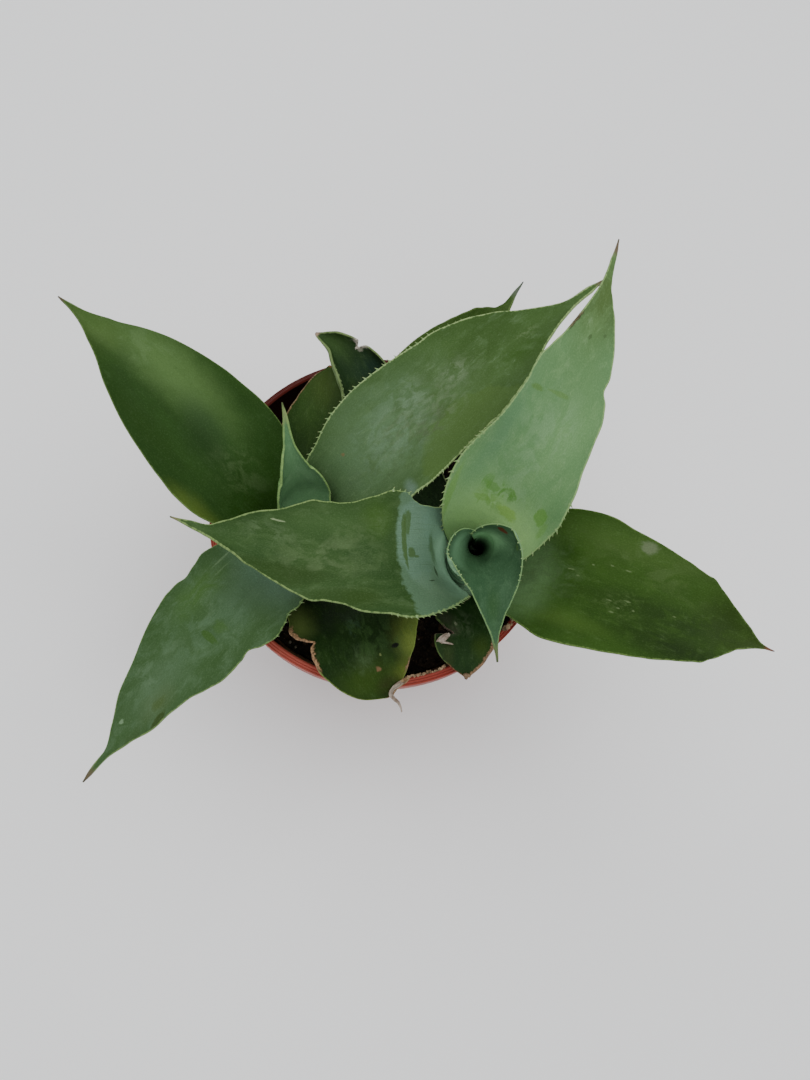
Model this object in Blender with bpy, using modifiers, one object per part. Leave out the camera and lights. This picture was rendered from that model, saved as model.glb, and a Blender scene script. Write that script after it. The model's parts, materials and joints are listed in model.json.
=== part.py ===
"""Potted agave: a two-headed agave in a brick-red 15 cm nursery pot.

World frame: origin at the centre of the pot's foot, +Z up, +X to the right of
the plant as it is usually looked at, +Y to its back. Blender works in metres,
and the tables below are in millimetres.

The plant is two rosettes, the main one at the right and an offset at the left.
Each is a short tapered stem with its leaves seated on it in a spiral. A leaf is
an open sheet bent over a hand-set route, given its thickness by Solidify.
"""

import math

import bmesh
import bpy
from mathutils import Matrix, Vector

MM = 0.001
GAP = 0.3                      # running gap between neighbouring solids

# Pot
RIM_RADIUS = 75.0
POT_HEIGHT = 125.0
FOOT_RADIUS = 52.0
SHOULDER_RADIUS = 71.5         # outside of the wall, just under the rim
RIM_DEPTH = 14.0
WALL = 1.6
FLOOR = 2.0
FOOT_STEP = 1.5                # height of the recess between the foot rings
POT_SIDES = 48
DRAIN_HOLES = 8
DRAIN_RADIUS = 4.0
DRAIN_RING = 34.0

# Soil
SOIL_LEVEL = 108.0
SOIL_CROWN = 1.0               # the surface stands this much higher at the middle
STEM_BURIED = 10.0

# Stems: height above the pot's foot, radius
MAIN_AXIS = (37.0, -22.0)
MAIN_STEM = [(SOIL_LEVEL - STEM_BURIED, 10.0), (107, 12.0), (114, 12.0), (122, 10.5),
             (130, 8.5), (138, 6.0), (145, 4.0)]
OFFSET_AXIS = (-31.0, -4.0)
OFFSET_STEM = [(SOIL_LEVEL - STEM_BURIED, 9.0), (107, 11.0), (114, 10.5), (121, 9.0),
               (128, 6.5), (133, 4.0)]
STEM_SIDES = 20

# The main rosette's bud stands in the roll of its youngest leaf: height, radius
BUD_AXIS = (35.0, -25.0)
BUD = [(MAIN_STEM[-1][0] + GAP, 2.6), (155, 3.4), (165, 3.0), (173, 1.6), (178, 0.6)]

# Leaves
ROWS = 14                      # faces along a leaf
COLUMNS = 6                    # faces across a leaf
MIDRIB = 4.6                   # thickness over the midrib near the base
MARGIN = 1.3                   # thickness at the margins
TIP_THICKNESS = 1.4
HEADING_PULL = 0.35            # how far the seat's direction turns the cross-sections

# Each leaf: rosette, direction it leaves the stem in degrees, height of its seat,
# half width and cup there, and then its stations from the neck to the tip:
# (x, y, z, half width, cup, roll). Cup is half the angle of the arc that the
# leaf's cross-section follows, and roll turns the section about the midrib.
LEAVES = {
    "main_leaf_back_folded": ("main", 126, 113, 9, 42, [
        (25, -6, 122, 12, 46, 0), (10, 16, 130, 15, 46, 0), (-3, 37, 136, 15, 46, 0),
        (-11, 54, 143, 11, 50, 0), (-20, 65, 147, 7, 50, 0), (-30, 73, 150, 1, 30, 0)]),
    "main_leaf_front_small": ("main", -96, 112, 9, 38, [
        (36, -40, 119, 12, 30, 0), (36, -50, 128, 16, 24, 0), (35, -59, 131, 14, 20, 0),
        (35, -66, 130, 8, 18, 0), (35, -71, 128, 2, 15, 0)]),
    "main_leaf_right": ("main", -12, 115, 10, 46, [
        (56, -26, 131, 20, 36, 0), (74, -31, 146, 28, 28, 0), (95, -39, 152, 26, 22, 0),
        (118, -47, 150, 21, 22, 0), (140, -53, 143, 12, 24, 0), (152, -57, 139, 5, 30, 0),
        (164, -60, 135, 1, 30, 0)]),
    "main_leaf_left": ("main", 188, 123, 12, 60, [
        (23, -24, 145, 21, 46, 0), (8, -27, 160, 25, 34, 0), (-13, -29, 167, 22, 28, 0),
        (-35, -28, 168, 17, 28, 0), (-57, -23, 171, 8, 32, 0), (-68, -21, 174, 2, 36, 0),
        (-79, -18, 177, 1, 30, 0)]),
    "main_leaf_upper_right": ("main", 60, 130, 12, 66, [
        (43, -11, 152, 21, 54, 0), (48, -2, 168, 24, 40, 0), (59, 14, 184, 19, 36, 0),
        (68, 33, 194, 14, 34, 0), (78, 57, 199, 6, 36, 0), (83, 72, 200, 2, 36, 0),
        (87, 88, 201, 1, 30, 0)]),
    "main_leaf_spear": ("main", -90, 139, 11, 90, [
        (35, -31, 158, 19, 165, 0), (35, -34, 173, 23, 170, 0), (35, -41, 186, 20, 108, 0),
        (35, -52, 195, 12, 62, 0), (35, -62, 200, 4, 44, 0), (35, -73, 204, 1, 30, 0)]),
    "offset_leaf_back_under": ("offset", 46, 113, 6, 30, [
        (-19, 9, 117, 8, 22, 0), (-2, 30, 121, 18, 20, 0), (18, 55, 127, 20, 18, 0),
        (34, 75, 132, 15, 20, 0), (48, 92, 137, 4, 26, 0), (63, 107, 141, 1, 30, 0)]),
    "offset_leaf_back_short": ("offset", 100, 116, 5, 26, [
        (-34, 15, 121, 7, 22, 0), (-31, 31, 126, 15, 20, 0), (-28, 45, 131, 13, 18, 0),
        (-26, 56, 134, 9, 18, 0), (-24, 65, 136, 2, 15, 0)]),
    "offset_leaf_front": ("offset", -68, 112, 8, 36, [
        (-25, -19, 118, 16, 24, 0), (-18, -34, 127, 24, 18, 0), (-11, -48, 134, 25, 16, 0),
        (-6, -61, 136, 21, 16, 0), (-1, -71, 134, 15, 16, 0), (4, -79, 131, 4, 16, 0)]),
    "offset_leaf_lower_left": ("offset", 238, 119, 7, 40, [
        (-41, -20, 134, 13, 28, 0), (-57, -39, 143, 22, 20, 0), (-74, -60, 145, 19, 20, 0),
        (-90, -81, 142, 11, 22, 0), (-102, -97, 138, 4, 28, 0), (-114, -112, 135, 1, 30, 0)]),
    "offset_leaf_upper_left": ("offset", 162, 115, 6, 30, [
        (-47, 1, 124, 12, 28, 0), (-62, 15, 139, 26, 28, 0), (-81, 34, 147, 25, 24, 0),
        (-101, 54, 149, 18, 24, 0), (-120, 71, 150, 7, 28, 0), (-139, 86, 151, 1, 30, 0)]),
    "offset_leaf_broad": ("offset", 38, 123, 9, 55, [
        (-16, 7, 140, 21, 42, 0), (0, 20, 154, 26, 32, 0), (24, 39, 165, 23, 28, 0),
        (46, 58, 171, 15, 28, 0), (72, 74, 176, 3, 34, 0), (89, 86, 178, 1, 30, 0)]),
    "offset_leaf_spear": ("offset", 98, 130, 9, 70, [
        (-33, 5, 140, 13, 78, 0), (-34, 7, 149, 12, 76, 0), (-36, 11, 159, 6, 66, 0),
        (-38, 17, 168, 2, 50, 0), (-39, 25, 178, 1, 30, 0)]),
}


def new_collection(name):
    collection = bpy.data.collections.new(name)
    bpy.context.scene.collection.children.link(collection)
    return collection


def new_object(name, mesh, collection):
    thing = bpy.data.objects.new(name, mesh)
    collection.objects.link(thing)
    return thing


def finish_material(thing, colour, roughness):
    """Give an object its own Principled material."""
    material = bpy.data.materials.new(thing.name + "_finish")
    material.use_nodes = True
    shader = material.node_tree.nodes["Principled BSDF"]
    shader.inputs["Base Color"].default_value = (*colour, 1.0)
    shader.inputs["Roughness"].default_value = roughness
    material.diffuse_color = (*colour, 1.0)
    thing.data.materials.append(material)


def turned(name, profile, sides, collection, centre=(0.0, 0.0)):
    """Turn a profile of (radius, height) about a vertical axis through centre."""
    shape = bmesh.new()
    points = [shape.verts.new((r * MM, 0.0, z * MM)) for r, z in profile]
    for upper, lower in zip(points, points[1:]):
        shape.edges.new((upper, lower))
    mesh = bpy.data.meshes.new(name)
    shape.to_mesh(mesh)
    shape.free()
    thing = new_object(name, mesh, collection)
    thing.location = (centre[0] * MM, centre[1] * MM, 0.0)
    screw = thing.modifiers.new("Turn", "SCREW")
    screw.steps = screw.render_steps = sides
    screw.use_merge_vertices = True
    screw.merge_threshold = 0.00001
    screw.use_smooth_shade = True
    return thing


def cut_with(thing, cutter):
    cut = thing.modifiers.new("Cut " + cutter.name, "BOOLEAN")
    cut.operation = "DIFFERENCE"
    cut.object = cutter
    cutter.hide_render = True
    cutter.display_type = "WIRE"


def wall_radius(z):
    """Outside radius of the pot's wall at a height."""
    return FOOT_RADIUS + (SHOULDER_RADIUS - FOOT_RADIUS) * z / (POT_HEIGHT - RIM_DEPTH)


def pot_profile():
    """The pot's section, from the floor's middle up inside, over the rim and down."""
    under_rim = POT_HEIGHT - RIM_DEPTH
    ridge = 1.2
    section = [(0, FLOOR + FOOT_STEP), (wall_radius(FLOOR) - WALL - 1, FLOOR + FOOT_STEP)]
    section += [(wall_radius(z) - WALL, z) for z in (FLOOR + FOOT_STEP + 1, 40, 80, under_rim)]
    section += [(RIM_RADIUS - 4.6, POT_HEIGHT - 3), (RIM_RADIUS - 4.2, POT_HEIGHT),
                (RIM_RADIUS - 2.6, POT_HEIGHT), (RIM_RADIUS - 2.4, POT_HEIGHT - ridge),
                (RIM_RADIUS - 1.2, POT_HEIGHT - ridge),
                (RIM_RADIUS - 1.0, POT_HEIGHT - 2 * ridge),
                (RIM_RADIUS, POT_HEIGHT - 2 * ridge - 0.4), (RIM_RADIUS, under_rim + 1),
                (RIM_RADIUS - 1, under_rim), (wall_radius(under_rim), under_rim)]
    section += [(wall_radius(z), z) for z in (80, 40, 2)]
    section += [(FOOT_RADIUS - 0.6, 0), (FOOT_RADIUS - 8, 0), (FOOT_RADIUS - 9, FOOT_STEP),
                (27, FOOT_STEP), (26, 0), (0, 0)]
    return section


def make_pot(parts, cutters):
    pot = turned("pot", pot_profile(), POT_SIDES, parts)
    shape = bmesh.new()
    for hole in range(DRAIN_HOLES):
        turn = 2 * math.pi * (hole + 0.5) / DRAIN_HOLES + math.pi / POT_SIDES
        place = Vector((math.cos(turn), math.sin(turn), 0)) * DRAIN_RING * MM
        bmesh.ops.create_cone(shape, cap_ends=True, segments=16, radius1=DRAIN_RADIUS * MM,
                              radius2=DRAIN_RADIUS * MM, depth=6 * FLOOR * MM,
                              matrix=Matrix.Translation(place))
    mesh = bpy.data.meshes.new("drain_holes")
    shape.to_mesh(mesh)
    shape.free()
    cut_with(pot, new_object("drain_holes", mesh, cutters))
    finish_material(pot, (0.38, 0.10, 0.075), 0.55)
    return pot


def stem_radius(stem, z):
    """Radius of a stem at a height, read along its profile."""
    for (low_z, low_r), (high_z, high_r) in zip(stem, stem[1:]):
        if z <= high_z:
            return low_r + (high_r - low_r) * (z - low_z) / (high_z - low_z)
    return stem[-1][1]


def stem_profile(stem, gap=0.0):
    """A stem's section, top to bottom, grown by gap on every side."""
    top = stem[-1][0] + gap
    bottom = stem[0][0] - gap
    flank = [(r + gap, z) for z, r in reversed(stem)]
    flank[0] = (flank[0][0], top)
    flank[-1] = (flank[-1][0], bottom)
    return [(0, top)] + flank + [(0, bottom)]


def make_stem(name, axis, stem, parts):
    column = turned(name, stem_profile(stem), STEM_SIDES, parts, axis)
    finish_material(column, (0.16, 0.20, 0.09), 0.7)
    return column


def make_soil(parts, cutters):
    """The soil fills the pot up to its level, and holds the two stems' feet."""
    fit = WALL + GAP
    profile = [(0, SOIL_LEVEL + SOIL_CROWN), (40, SOIL_LEVEL + SOIL_CROWN),
               (wall_radius(SOIL_LEVEL) - fit, SOIL_LEVEL)]
    floor = FLOOR + FOOT_STEP + 1
    profile += [(wall_radius(z) - fit, z) for z in (80, 40, floor + GAP)]
    profile += [(wall_radius(FLOOR) - fit - 1, floor - 1 + GAP), (0, floor - 1 + GAP)]
    soil = turned("soil", profile, POT_SIDES, parts)
    for name, axis, stem in (("main", MAIN_AXIS, MAIN_STEM), ("offset", OFFSET_AXIS, OFFSET_STEM)):
        hole = turned(name + "_socket", stem_profile(stem, GAP), STEM_SIDES, cutters, axis)
        cut_with(soil, hole)
    finish_material(soil, (0.012, 0.009, 0.007), 0.95)
    return soil


def along(stations, u):
    """Catmull-Rom curve through the stations, u from 0 at the first to 1 at the last."""
    last = len(stations) - 1
    place = min(max(u, 0.0), 1.0) * last
    index = min(int(place), last - 1)
    t = place - index
    first, second = stations[index], stations[index + 1]
    before = stations[index - 1] if index else [2 * a - b for a, b in zip(first, second)]
    after = (stations[index + 2] if index + 2 <= last
             else [2 * b - a for a, b in zip(first, second)])
    return [0.5 * (2 * p1 + (p2 - p0) * t + (2 * p0 - 5 * p1 + 4 * p2 - p3) * t ** 2
                   + (3 * p1 - p0 - 3 * p2 + p3) * t ** 3)
            for p0, p1, p2, p3 in zip(before, first, second, after)]


def leaf_stations(rosette, direction, seat, half_width, cup, route):
    """A leaf's stations with its seat on the stem in front."""
    axis, stem = (MAIN_AXIS, MAIN_STEM) if rosette == "main" else (OFFSET_AXIS, OFFSET_STEM)
    turn = math.radians(direction)
    reach = stem_radius(stem, seat) + GAP
    foot = (axis[0] + reach * math.cos(turn), axis[1] + reach * math.sin(turn), seat,
            half_width, cup, 0)
    return [foot] + route


def leaf_point(stations, direction, u, v, spiral=0.0):
    """The point of a leaf's upper face at u along it and v across it, -1 to 1."""
    x, y, z, half_width, cup, roll = along(stations, u)
    step = 0.01
    ahead = Vector(along(stations, u + step)[:3])
    behind = Vector(along(stations, u - step)[:3])
    tangent = (ahead - behind).normalized()
    turn = math.radians(direction)
    heading = Vector((tangent.x + HEADING_PULL * math.cos(turn),
                      tangent.y + HEADING_PULL * math.sin(turn), 0))
    side = Vector((0, 0, 1)).cross(heading)
    side = (side - side.dot(tangent) * tangent).normalized()
    upward = tangent.cross(side)
    tilt = math.radians(roll)
    side, upward = (side * math.cos(tilt) + upward * math.sin(tilt),
                    upward * math.cos(tilt) - side * math.sin(tilt))
    arc = math.radians(max(cup, 1.0))
    radius = max(half_width, 0.6) / arc
    reach = radius * (1 + spiral * v)
    return (Vector((x, y, z)) + radius * upward
            + reach * (math.sin(arc * v) * side - math.cos(arc * v) * upward))


def leaf_thickness(u, v):
    """Thickness of a leaf: full along the midrib's root, thin at tip and margins."""
    spine = MIDRIB + (TIP_THICKNESS - MIDRIB) * u ** 1.5
    edge = min(MARGIN, spine)
    return edge + (spine - edge) * (1 - abs(v) ** 1.5)


def make_leaf(name, leaf, parts, spiral=0.0):
    rosette, direction, seat, half_width, cup, route = leaf
    stations = leaf_stations(rosette, direction, seat, half_width, cup, route)
    sheet = bmesh.new()
    bmesh.ops.create_grid(sheet, x_segments=ROWS, y_segments=COLUMNS, size=1.0)
    thickness = []
    for vertex in sheet.verts:
        u = (vertex.co.x + 1) / 2
        v = vertex.co.y
        vertex.co = leaf_point(stations, direction, u, v, spiral) * MM
        thickness.append(leaf_thickness(u, v))
    mesh = bpy.data.meshes.new(name)
    sheet.to_mesh(mesh)
    sheet.free()
    thing = new_object(name, mesh, parts)
    group = thing.vertex_groups.new(name="thickness")
    for index, amount in enumerate(thickness):
        group.add([index], amount / MIDRIB, "REPLACE")
    flesh = thing.modifiers.new("Flesh", "SOLIDIFY")
    flesh.thickness = MIDRIB * MM
    flesh.offset = -1.0
    flesh.vertex_group = group.name
    mesh.shade_smooth()
    return thing


def main():
    for old in list(bpy.data.objects):
        bpy.data.objects.remove(old, do_unlink=True)
    parts = new_collection("potted_agave")
    cutters = new_collection("cutters")
    make_pot(parts, cutters)
    make_soil(parts, cutters)
    make_stem("main_stem", MAIN_AXIS, MAIN_STEM, parts)
    make_stem("offset_stem", OFFSET_AXIS, OFFSET_STEM, parts)
    make_stem("main_bud", BUD_AXIS, BUD, parts)
    for name, leaf in LEAVES.items():
        spiral = -0.3 if name == "main_leaf_spear" else 0.0
        thing = make_leaf(name, leaf, parts, spiral)
        finish_material(thing, (0.05, 0.10, 0.035), 0.5)


main()
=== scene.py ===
# %% [markdown]
# # A potted agave
#
# Two heads of a broad-leaved agave share one brick-red nursery pot. The packed
# model gives the pieces, their places and their sizes. These cells give each of
# them its fine surface and its finish: toothed, waxy leaves, crumbly soil and a
# dusty moulded pot.

# %% Load the frame
import json
import math
import random
from dataclasses import dataclass

import bmesh
import bpy
from mathutils import Matrix, Vector, noise


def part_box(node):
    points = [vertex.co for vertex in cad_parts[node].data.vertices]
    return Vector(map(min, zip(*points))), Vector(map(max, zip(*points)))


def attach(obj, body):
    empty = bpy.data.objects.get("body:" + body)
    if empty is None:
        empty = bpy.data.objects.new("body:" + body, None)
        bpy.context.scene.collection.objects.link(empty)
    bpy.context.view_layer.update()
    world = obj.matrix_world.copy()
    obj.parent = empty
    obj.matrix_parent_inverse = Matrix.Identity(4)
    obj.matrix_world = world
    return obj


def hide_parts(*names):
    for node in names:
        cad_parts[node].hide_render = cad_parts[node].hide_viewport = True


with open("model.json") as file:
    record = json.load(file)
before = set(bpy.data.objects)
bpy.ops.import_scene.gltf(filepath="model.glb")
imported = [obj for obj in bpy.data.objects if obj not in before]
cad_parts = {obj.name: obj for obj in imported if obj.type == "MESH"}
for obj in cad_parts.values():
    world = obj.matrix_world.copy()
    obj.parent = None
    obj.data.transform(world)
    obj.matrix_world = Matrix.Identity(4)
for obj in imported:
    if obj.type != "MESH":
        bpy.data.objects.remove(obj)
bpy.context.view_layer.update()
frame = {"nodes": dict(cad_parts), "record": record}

MM = 0.001
noise.seed_set(1)        # else the clock shifts noise_vector, and no two runs agree
pot_low, pot_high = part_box("pot")
SOIL_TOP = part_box("soil")[1].z
RIM_RADIUS = (pot_high.x - pot_low.x) / 2
RIM_HEIGHT = pot_high.z
print("nodes:", len(frame["nodes"]), "rim radius", round(RIM_RADIUS / MM, 1), "mm")

# %% [markdown]
# ## Camera, floor and light
#
# A plant in a pot is usually looked at from above, by someone who leans over
# it a little from the front. So the camera hangs about 340 mm over the rim, tipped
# forward, and rolled a little as a hand holds it. The floor is one pale plane, and the
# light is a large soft panel overhead with three dimmer ones round it, which
# give broad leaves a gentle sheen and no hard shadow.

# %% Camera
camera_data = bpy.data.cameras.new("camera")
camera_data.lens = 27.0
camera_data.sensor_width = 36.0
camera_data.clip_start = 0.01
camera = bpy.data.objects.new("camera", camera_data)
bpy.context.scene.collection.objects.link(camera)
camera.location = (-0.0103, -0.1021, RIM_HEIGHT + 0.3391)
camera.rotation_euler = (math.radians(14.9), math.radians(-3.4), 0)
bpy.context.scene.camera = camera
print("camera is", round(camera.location.z, 3), "m above the floor")


# %% Floor and light
def deselect_all():
    """Operators act on all that is selected, and the frame arrives selected."""
    if bpy.context.object and bpy.context.object.mode != "OBJECT":
        bpy.ops.object.mode_set(mode="OBJECT")
    bpy.ops.object.select_all(action="DESELECT")


def soft_panel(name, place, target, size, power):
    data = bpy.data.lights.new(name, "AREA")
    data.shape = "SQUARE"
    data.size = size
    data.energy = power
    panel = bpy.data.objects.new(name, data)
    bpy.context.scene.collection.objects.link(panel)
    panel.location = place
    panel.rotation_euler = (Vector(target) - Vector(place)).to_track_quat("-Z", "Y").to_euler()
    return panel


deselect_all()
bpy.ops.mesh.primitive_plane_add(size=6, location=(0, 0, pot_low.z))
floor = bpy.context.object
floor.name = "floor"
paint = bpy.data.materials.new("floor_paint")
paint.use_nodes = True
paint_shader = paint.node_tree.nodes["Principled BSDF"]
paint_shader.inputs["Base Color"].default_value = (0.93, 0.93, 0.93, 1)
paint_shader.inputs["Roughness"].default_value = 0.9
floor.data.materials.append(paint)

over = soft_panel("light_over", (0.1, 0.1, 1.5), (0, 0, 0.1), 1.5, 19)
over.visible_glossy = False      # it lights the blades, and the side panels give the sheen
soft_panel("light_back", (-0.7, 1.3, 1.3), (0, 0, 0.1), 1.0, 6)
soft_panel("light_side", (1.5, 0.2, 1.1), (0, 0, 0.1), 1.0, 4)
soft_panel("light_front", (-0.8, -1.4, 1.0), (0, 0, 0.1), 1.0, 4)
world = bpy.data.worlds.new("studio")
world.use_nodes = True
sky = world.node_tree.nodes["Background"]
sky.inputs["Color"].default_value = (0.95, 0.98, 1.0, 1)
sky.inputs["Strength"].default_value = 0.5
bpy.context.scene.world = world
print("four soft panels and a pale world")


# %% [markdown]
# ## A small kit for finishes
#
# Each finish is a graph of nodes that ends in one Principled shader. Wiring it by
# hand in the editor would be quick once, but here there are over twenty. So each
# helper below adds one node and returns its output, and a finish reads as a list of
# layers: a colour, what is mixed over it, and where. Colours are written as on a
# paint chart, from 0 to 255, and are turned to linear light as they go in.

# %% Node helpers
def srgb(red, green, blue):
    """A chart colour, 0 to 255, turned to linear light."""
    def linear(c):
        c /= 255
        return c / 12.92 if c <= 0.04045 else ((c + 0.055) / 1.055) ** 2.4
    return linear(red), linear(green), linear(blue)


class Finish:
    """A material under construction. Every method adds a node and returns its output."""

    def __init__(self, name, specular):
        self.material = bpy.data.materials.new(name)
        self.material.use_nodes = True
        self.tree = self.material.node_tree
        self.shader = self.tree.nodes["Principled BSDF"]
        self.shader.inputs["Specular IOR Level"].default_value = specular
        self.place = self.add("ShaderNodeTexCoord").outputs["Object"]

    def add(self, kind, inputs=None, **settings):
        node = self.tree.nodes.new(kind)
        for key, value in settings.items():
            setattr(node, key, value)
        for key, value in (inputs or {}).items():
            self.plug(node.inputs[key], value)
        return node

    def plug(self, socket, value):
        """Link an output into a socket, or set the socket to a value or chart colour."""
        if isinstance(value, bpy.types.NodeSocket):
            self.tree.links.new(value, socket)
        elif socket.type == "RGBA":
            socket.default_value = (*srgb(*value), 1)
        else:
            socket.default_value = value

    def math(self, kind, first, second):
        return self.add("ShaderNodeMath", {0: first, 1: second}, operation=kind).outputs[0]

    def times(self, first, *others):
        for other in others:
            first = self.math("MULTIPLY", first, other)
        return first

    def vector(self, kind, *values):
        node = self.add("ShaderNodeVectorMath", dict(enumerate(values)), operation=kind)
        return node.outputs["Value" if kind == "LENGTH" else "Vector"]

    def axes(self, vector):
        """The X, Y and Z of a vector."""
        return self.add("ShaderNodeSeparateXYZ", {0: vector}).outputs

    def step(self, value, low, high, bottom=0.0, top=1.0):
        """Rise smoothly from bottom to top as value goes from low to high."""
        ends = {"Value": value, "From Min": low, "From Max": high, "To Min": bottom,
                "To Max": top}
        return self.add("ShaderNodeMapRange", ends, interpolation_type="SMOOTHSTEP").outputs[0]

    def stretch(self, vector, scale, shift=(0, 0, 0)):
        return self.add("ShaderNodeMapping", {"Vector": vector, "Scale": scale,
                                              "Location": shift}).outputs[0]

    def noise(self, vector, scale, detail=3.0, rough=0.5, warp=0.0, output=0):
        return self.add("ShaderNodeTexNoise", {
            "Vector": vector, "Scale": scale, "Detail": detail, "Roughness": rough,
            "Distortion": warp}).outputs[output]

    def cells(self, vector, scale):
        return self.add("ShaderNodeTexVoronoi", {"Vector": vector, "Scale": scale}).outputs[0]

    def attribute(self, name):
        return self.add("ShaderNodeAttribute", attribute_name=name).outputs["Fac"]

    def mix(self, amount, under, over):
        return self.add("ShaderNodeMix", {0: amount, 6: under, 7: over},
                        data_type="RGBA").outputs[2]

    def bump(self, height, strength, depth, under=None):
        node = self.add("ShaderNodeBump", {"Height": height, "Strength": strength,
                                           "Distance": depth})
        if under is not None:
            self.plug(node.inputs["Normal"], under)
        return node.outputs[0]

    def finish(self, colour, rough, normal):
        self.plug(self.shader.inputs["Base Color"], colour)
        self.plug(self.shader.inputs["Roughness"], rough)
        self.plug(self.shader.inputs["Normal"], normal)
        return self.material


print("node helpers ready")


# %% [markdown]
# ## The pot
#
# A nursery pot is thin plastic, moulded in one shot: a tapering wall, a floor with
# drain holes between two foot rings, and a stiff rim band whose top has fine
# ridges. It could be turned from a drawn profile. Here it is grown by hand from one
# circle, by extruding its edge and moving and resizing each new ring, which is
# how most round things are made at the bench in Blender.

# %% Grow a round shell from a circle
def grown_ring(name, rings, sides):
    """Extrude a circle through a list of (radius, height) rings, open at both ends."""
    deselect_all()
    radius, height = rings[0]
    bpy.ops.mesh.primitive_circle_add(vertices=sides, radius=radius, location=(0, 0, height))
    shell = bpy.context.object
    shell.name = name
    bpy.ops.object.mode_set(mode="EDIT")
    bpy.ops.mesh.select_all(action="SELECT")
    for next_radius, next_height in rings[1:]:
        rise = next_height - height
        bpy.ops.mesh.extrude_region_move(TRANSFORM_OT_translate={"value": (0, 0, rise)})
        grow = next_radius / radius
        bpy.ops.transform.resize(value=(grow, grow, 1), center_override=(0, 0, next_height))
        radius, height = next_radius, next_height
    bpy.ops.object.mode_set(mode="OBJECT")
    settle(shell)
    return shell


def pick(piece):
    """Select one piece alone, and make it the one that operators work on."""
    deselect_all()
    piece.select_set(True)
    bpy.context.view_layer.objects.active = piece


def settle(piece):
    """Put a piece's place into its mesh, so that its object sits at the origin."""
    pick(piece)
    bpy.ops.object.transform_apply(location=True, rotation=True, scale=True)


def apply_modifiers(piece):
    pick(piece)
    for modifier in list(piece.modifiers):
        bpy.ops.object.modifier_apply(modifier=modifier.name)


def smooth(piece):
    pick(piece)
    bpy.ops.object.shade_smooth()


def recalculate(piece):
    """Merge doubles and point all faces outwards."""
    pick(piece)
    bpy.ops.object.mode_set(mode="EDIT")
    bpy.ops.mesh.select_all(action="SELECT")
    bpy.ops.mesh.remove_doubles(threshold=0.01 * MM)
    bpy.ops.mesh.normals_make_consistent(inside=False)
    bpy.ops.object.mode_set(mode="OBJECT")


def point_values(mesh, name, values):
    """Keep one number for each point of a mesh, where a material can read it."""
    attribute = mesh.attributes.new(name, "FLOAT", "POINT")
    attribute.data.foreach_set("value", values)


def adopt(piece, material, slot, *nodes):
    """Give a piece its finish, its body and the nodes it stands for. The slot is not used."""
    piece.data.materials.clear()
    piece.data.materials.append(material)
    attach(piece, "root")
    if nodes:
        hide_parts(*nodes)


print("bench helpers ready")

# %% Pot: sizes
POT_SIDES = 192
POLE = 0.4 * MM          # the small circle that a round shell starts and ends with
WALL = 1.6 * MM
FOOT_RADIUS = 52 * MM
SHOULDER_RADIUS = 71.5 * MM
RIM_DEPTH = 14 * MM
FLOOR_TOP = 3.5 * MM
FOOT_STEP = 1.5 * MM
UNDER_RIM = RIM_HEIGHT - RIM_DEPTH
RIM_INSIDE = RIM_RADIUS - 3.3 * MM
RIDGES = 3
RIDGE_WIDTH = 1.02 * MM
RIDGE_RISE = 0.8 * MM


def wall_radius(z):
    """Outside radius of the tapering wall at a height."""
    return FOOT_RADIUS + (SHOULDER_RADIUS - FOOT_RADIUS) * z / UNDER_RIM


def pot_rings():
    """The pot's rings from the middle of its underside, out, up, over the rim and in."""
    rings = [(POLE, 0), (25.5 * MM, 0), (26 * MM, 0.1 * MM), (27 * MM, FOOT_STEP),
             (43 * MM, FOOT_STEP), (43.6 * MM, 0.1 * MM), (44.2 * MM, 0),
             (FOOT_RADIUS - 1.2 * MM, 0), (FOOT_RADIUS - 0.3 * MM, 0.5 * MM)]
    rings += [(wall_radius(z * MM), z * MM) for z in (2, 12, 30, 50, 70, 90, 104)]
    # the rim band steps out from the wall, with a small round at its lower edge
    rings += [(wall_radius(UNDER_RIM) - 0.1 * MM, UNDER_RIM - 0.2 * MM),
              (RIM_RADIUS - 0.8 * MM, UNDER_RIM), (RIM_RADIUS - 0.2 * MM, UNDER_RIM + 0.3 * MM),
              (RIM_RADIUS, UNDER_RIM + 0.9 * MM), (RIM_RADIUS, RIM_HEIGHT - 3.2 * MM)]
    # fine ridges climb inwards over the top of the rim
    for ridge in range(RIDGES):
        out = RIM_RADIUS - ridge * RIDGE_WIDTH
        top = RIM_HEIGHT - (RIDGES - 1 - ridge) * RIDGE_RISE
        rings += [(out - 0.1 * MM, top - 0.16 * MM), (out - 0.28 * MM, top),
                  (out - 0.66 * MM, top), (out - 0.84 * MM, top - 0.22 * MM)]
    rings += [(RIM_INSIDE, RIM_HEIGHT - 0.5 * MM), (RIM_INSIDE - 0.3 * MM, RIM_HEIGHT - 2 * MM)]
    rings += [(wall_radius(z * MM) - WALL, z * MM) for z in (110, 104, 96, 80, 40, 8)]
    rings += [(wall_radius(0) - WALL - 2 * MM, FLOOR_TOP), (30 * MM, FLOOR_TOP),
              (POLE, FLOOR_TOP)]
    return rings


print("pot rings:", len(pot_rings()))

# %% Pot: shell, drain holes
DRAIN_HOLES = 8
DRAIN_RING = 34 * MM
DRAIN_RADIUS = 4 * MM


def close_ends(piece):
    """Fill the small circles that a grown shell starts and ends with."""
    pick(piece)
    bpy.ops.object.mode_set(mode="EDIT")
    bpy.ops.mesh.select_all(action="DESELECT")
    bpy.ops.mesh.select_non_manifold()
    bpy.ops.mesh.edge_face_add()
    bpy.ops.mesh.select_all(action="SELECT")
    bpy.ops.mesh.normals_make_consistent(inside=False)
    bpy.ops.object.mode_set(mode="OBJECT")


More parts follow.
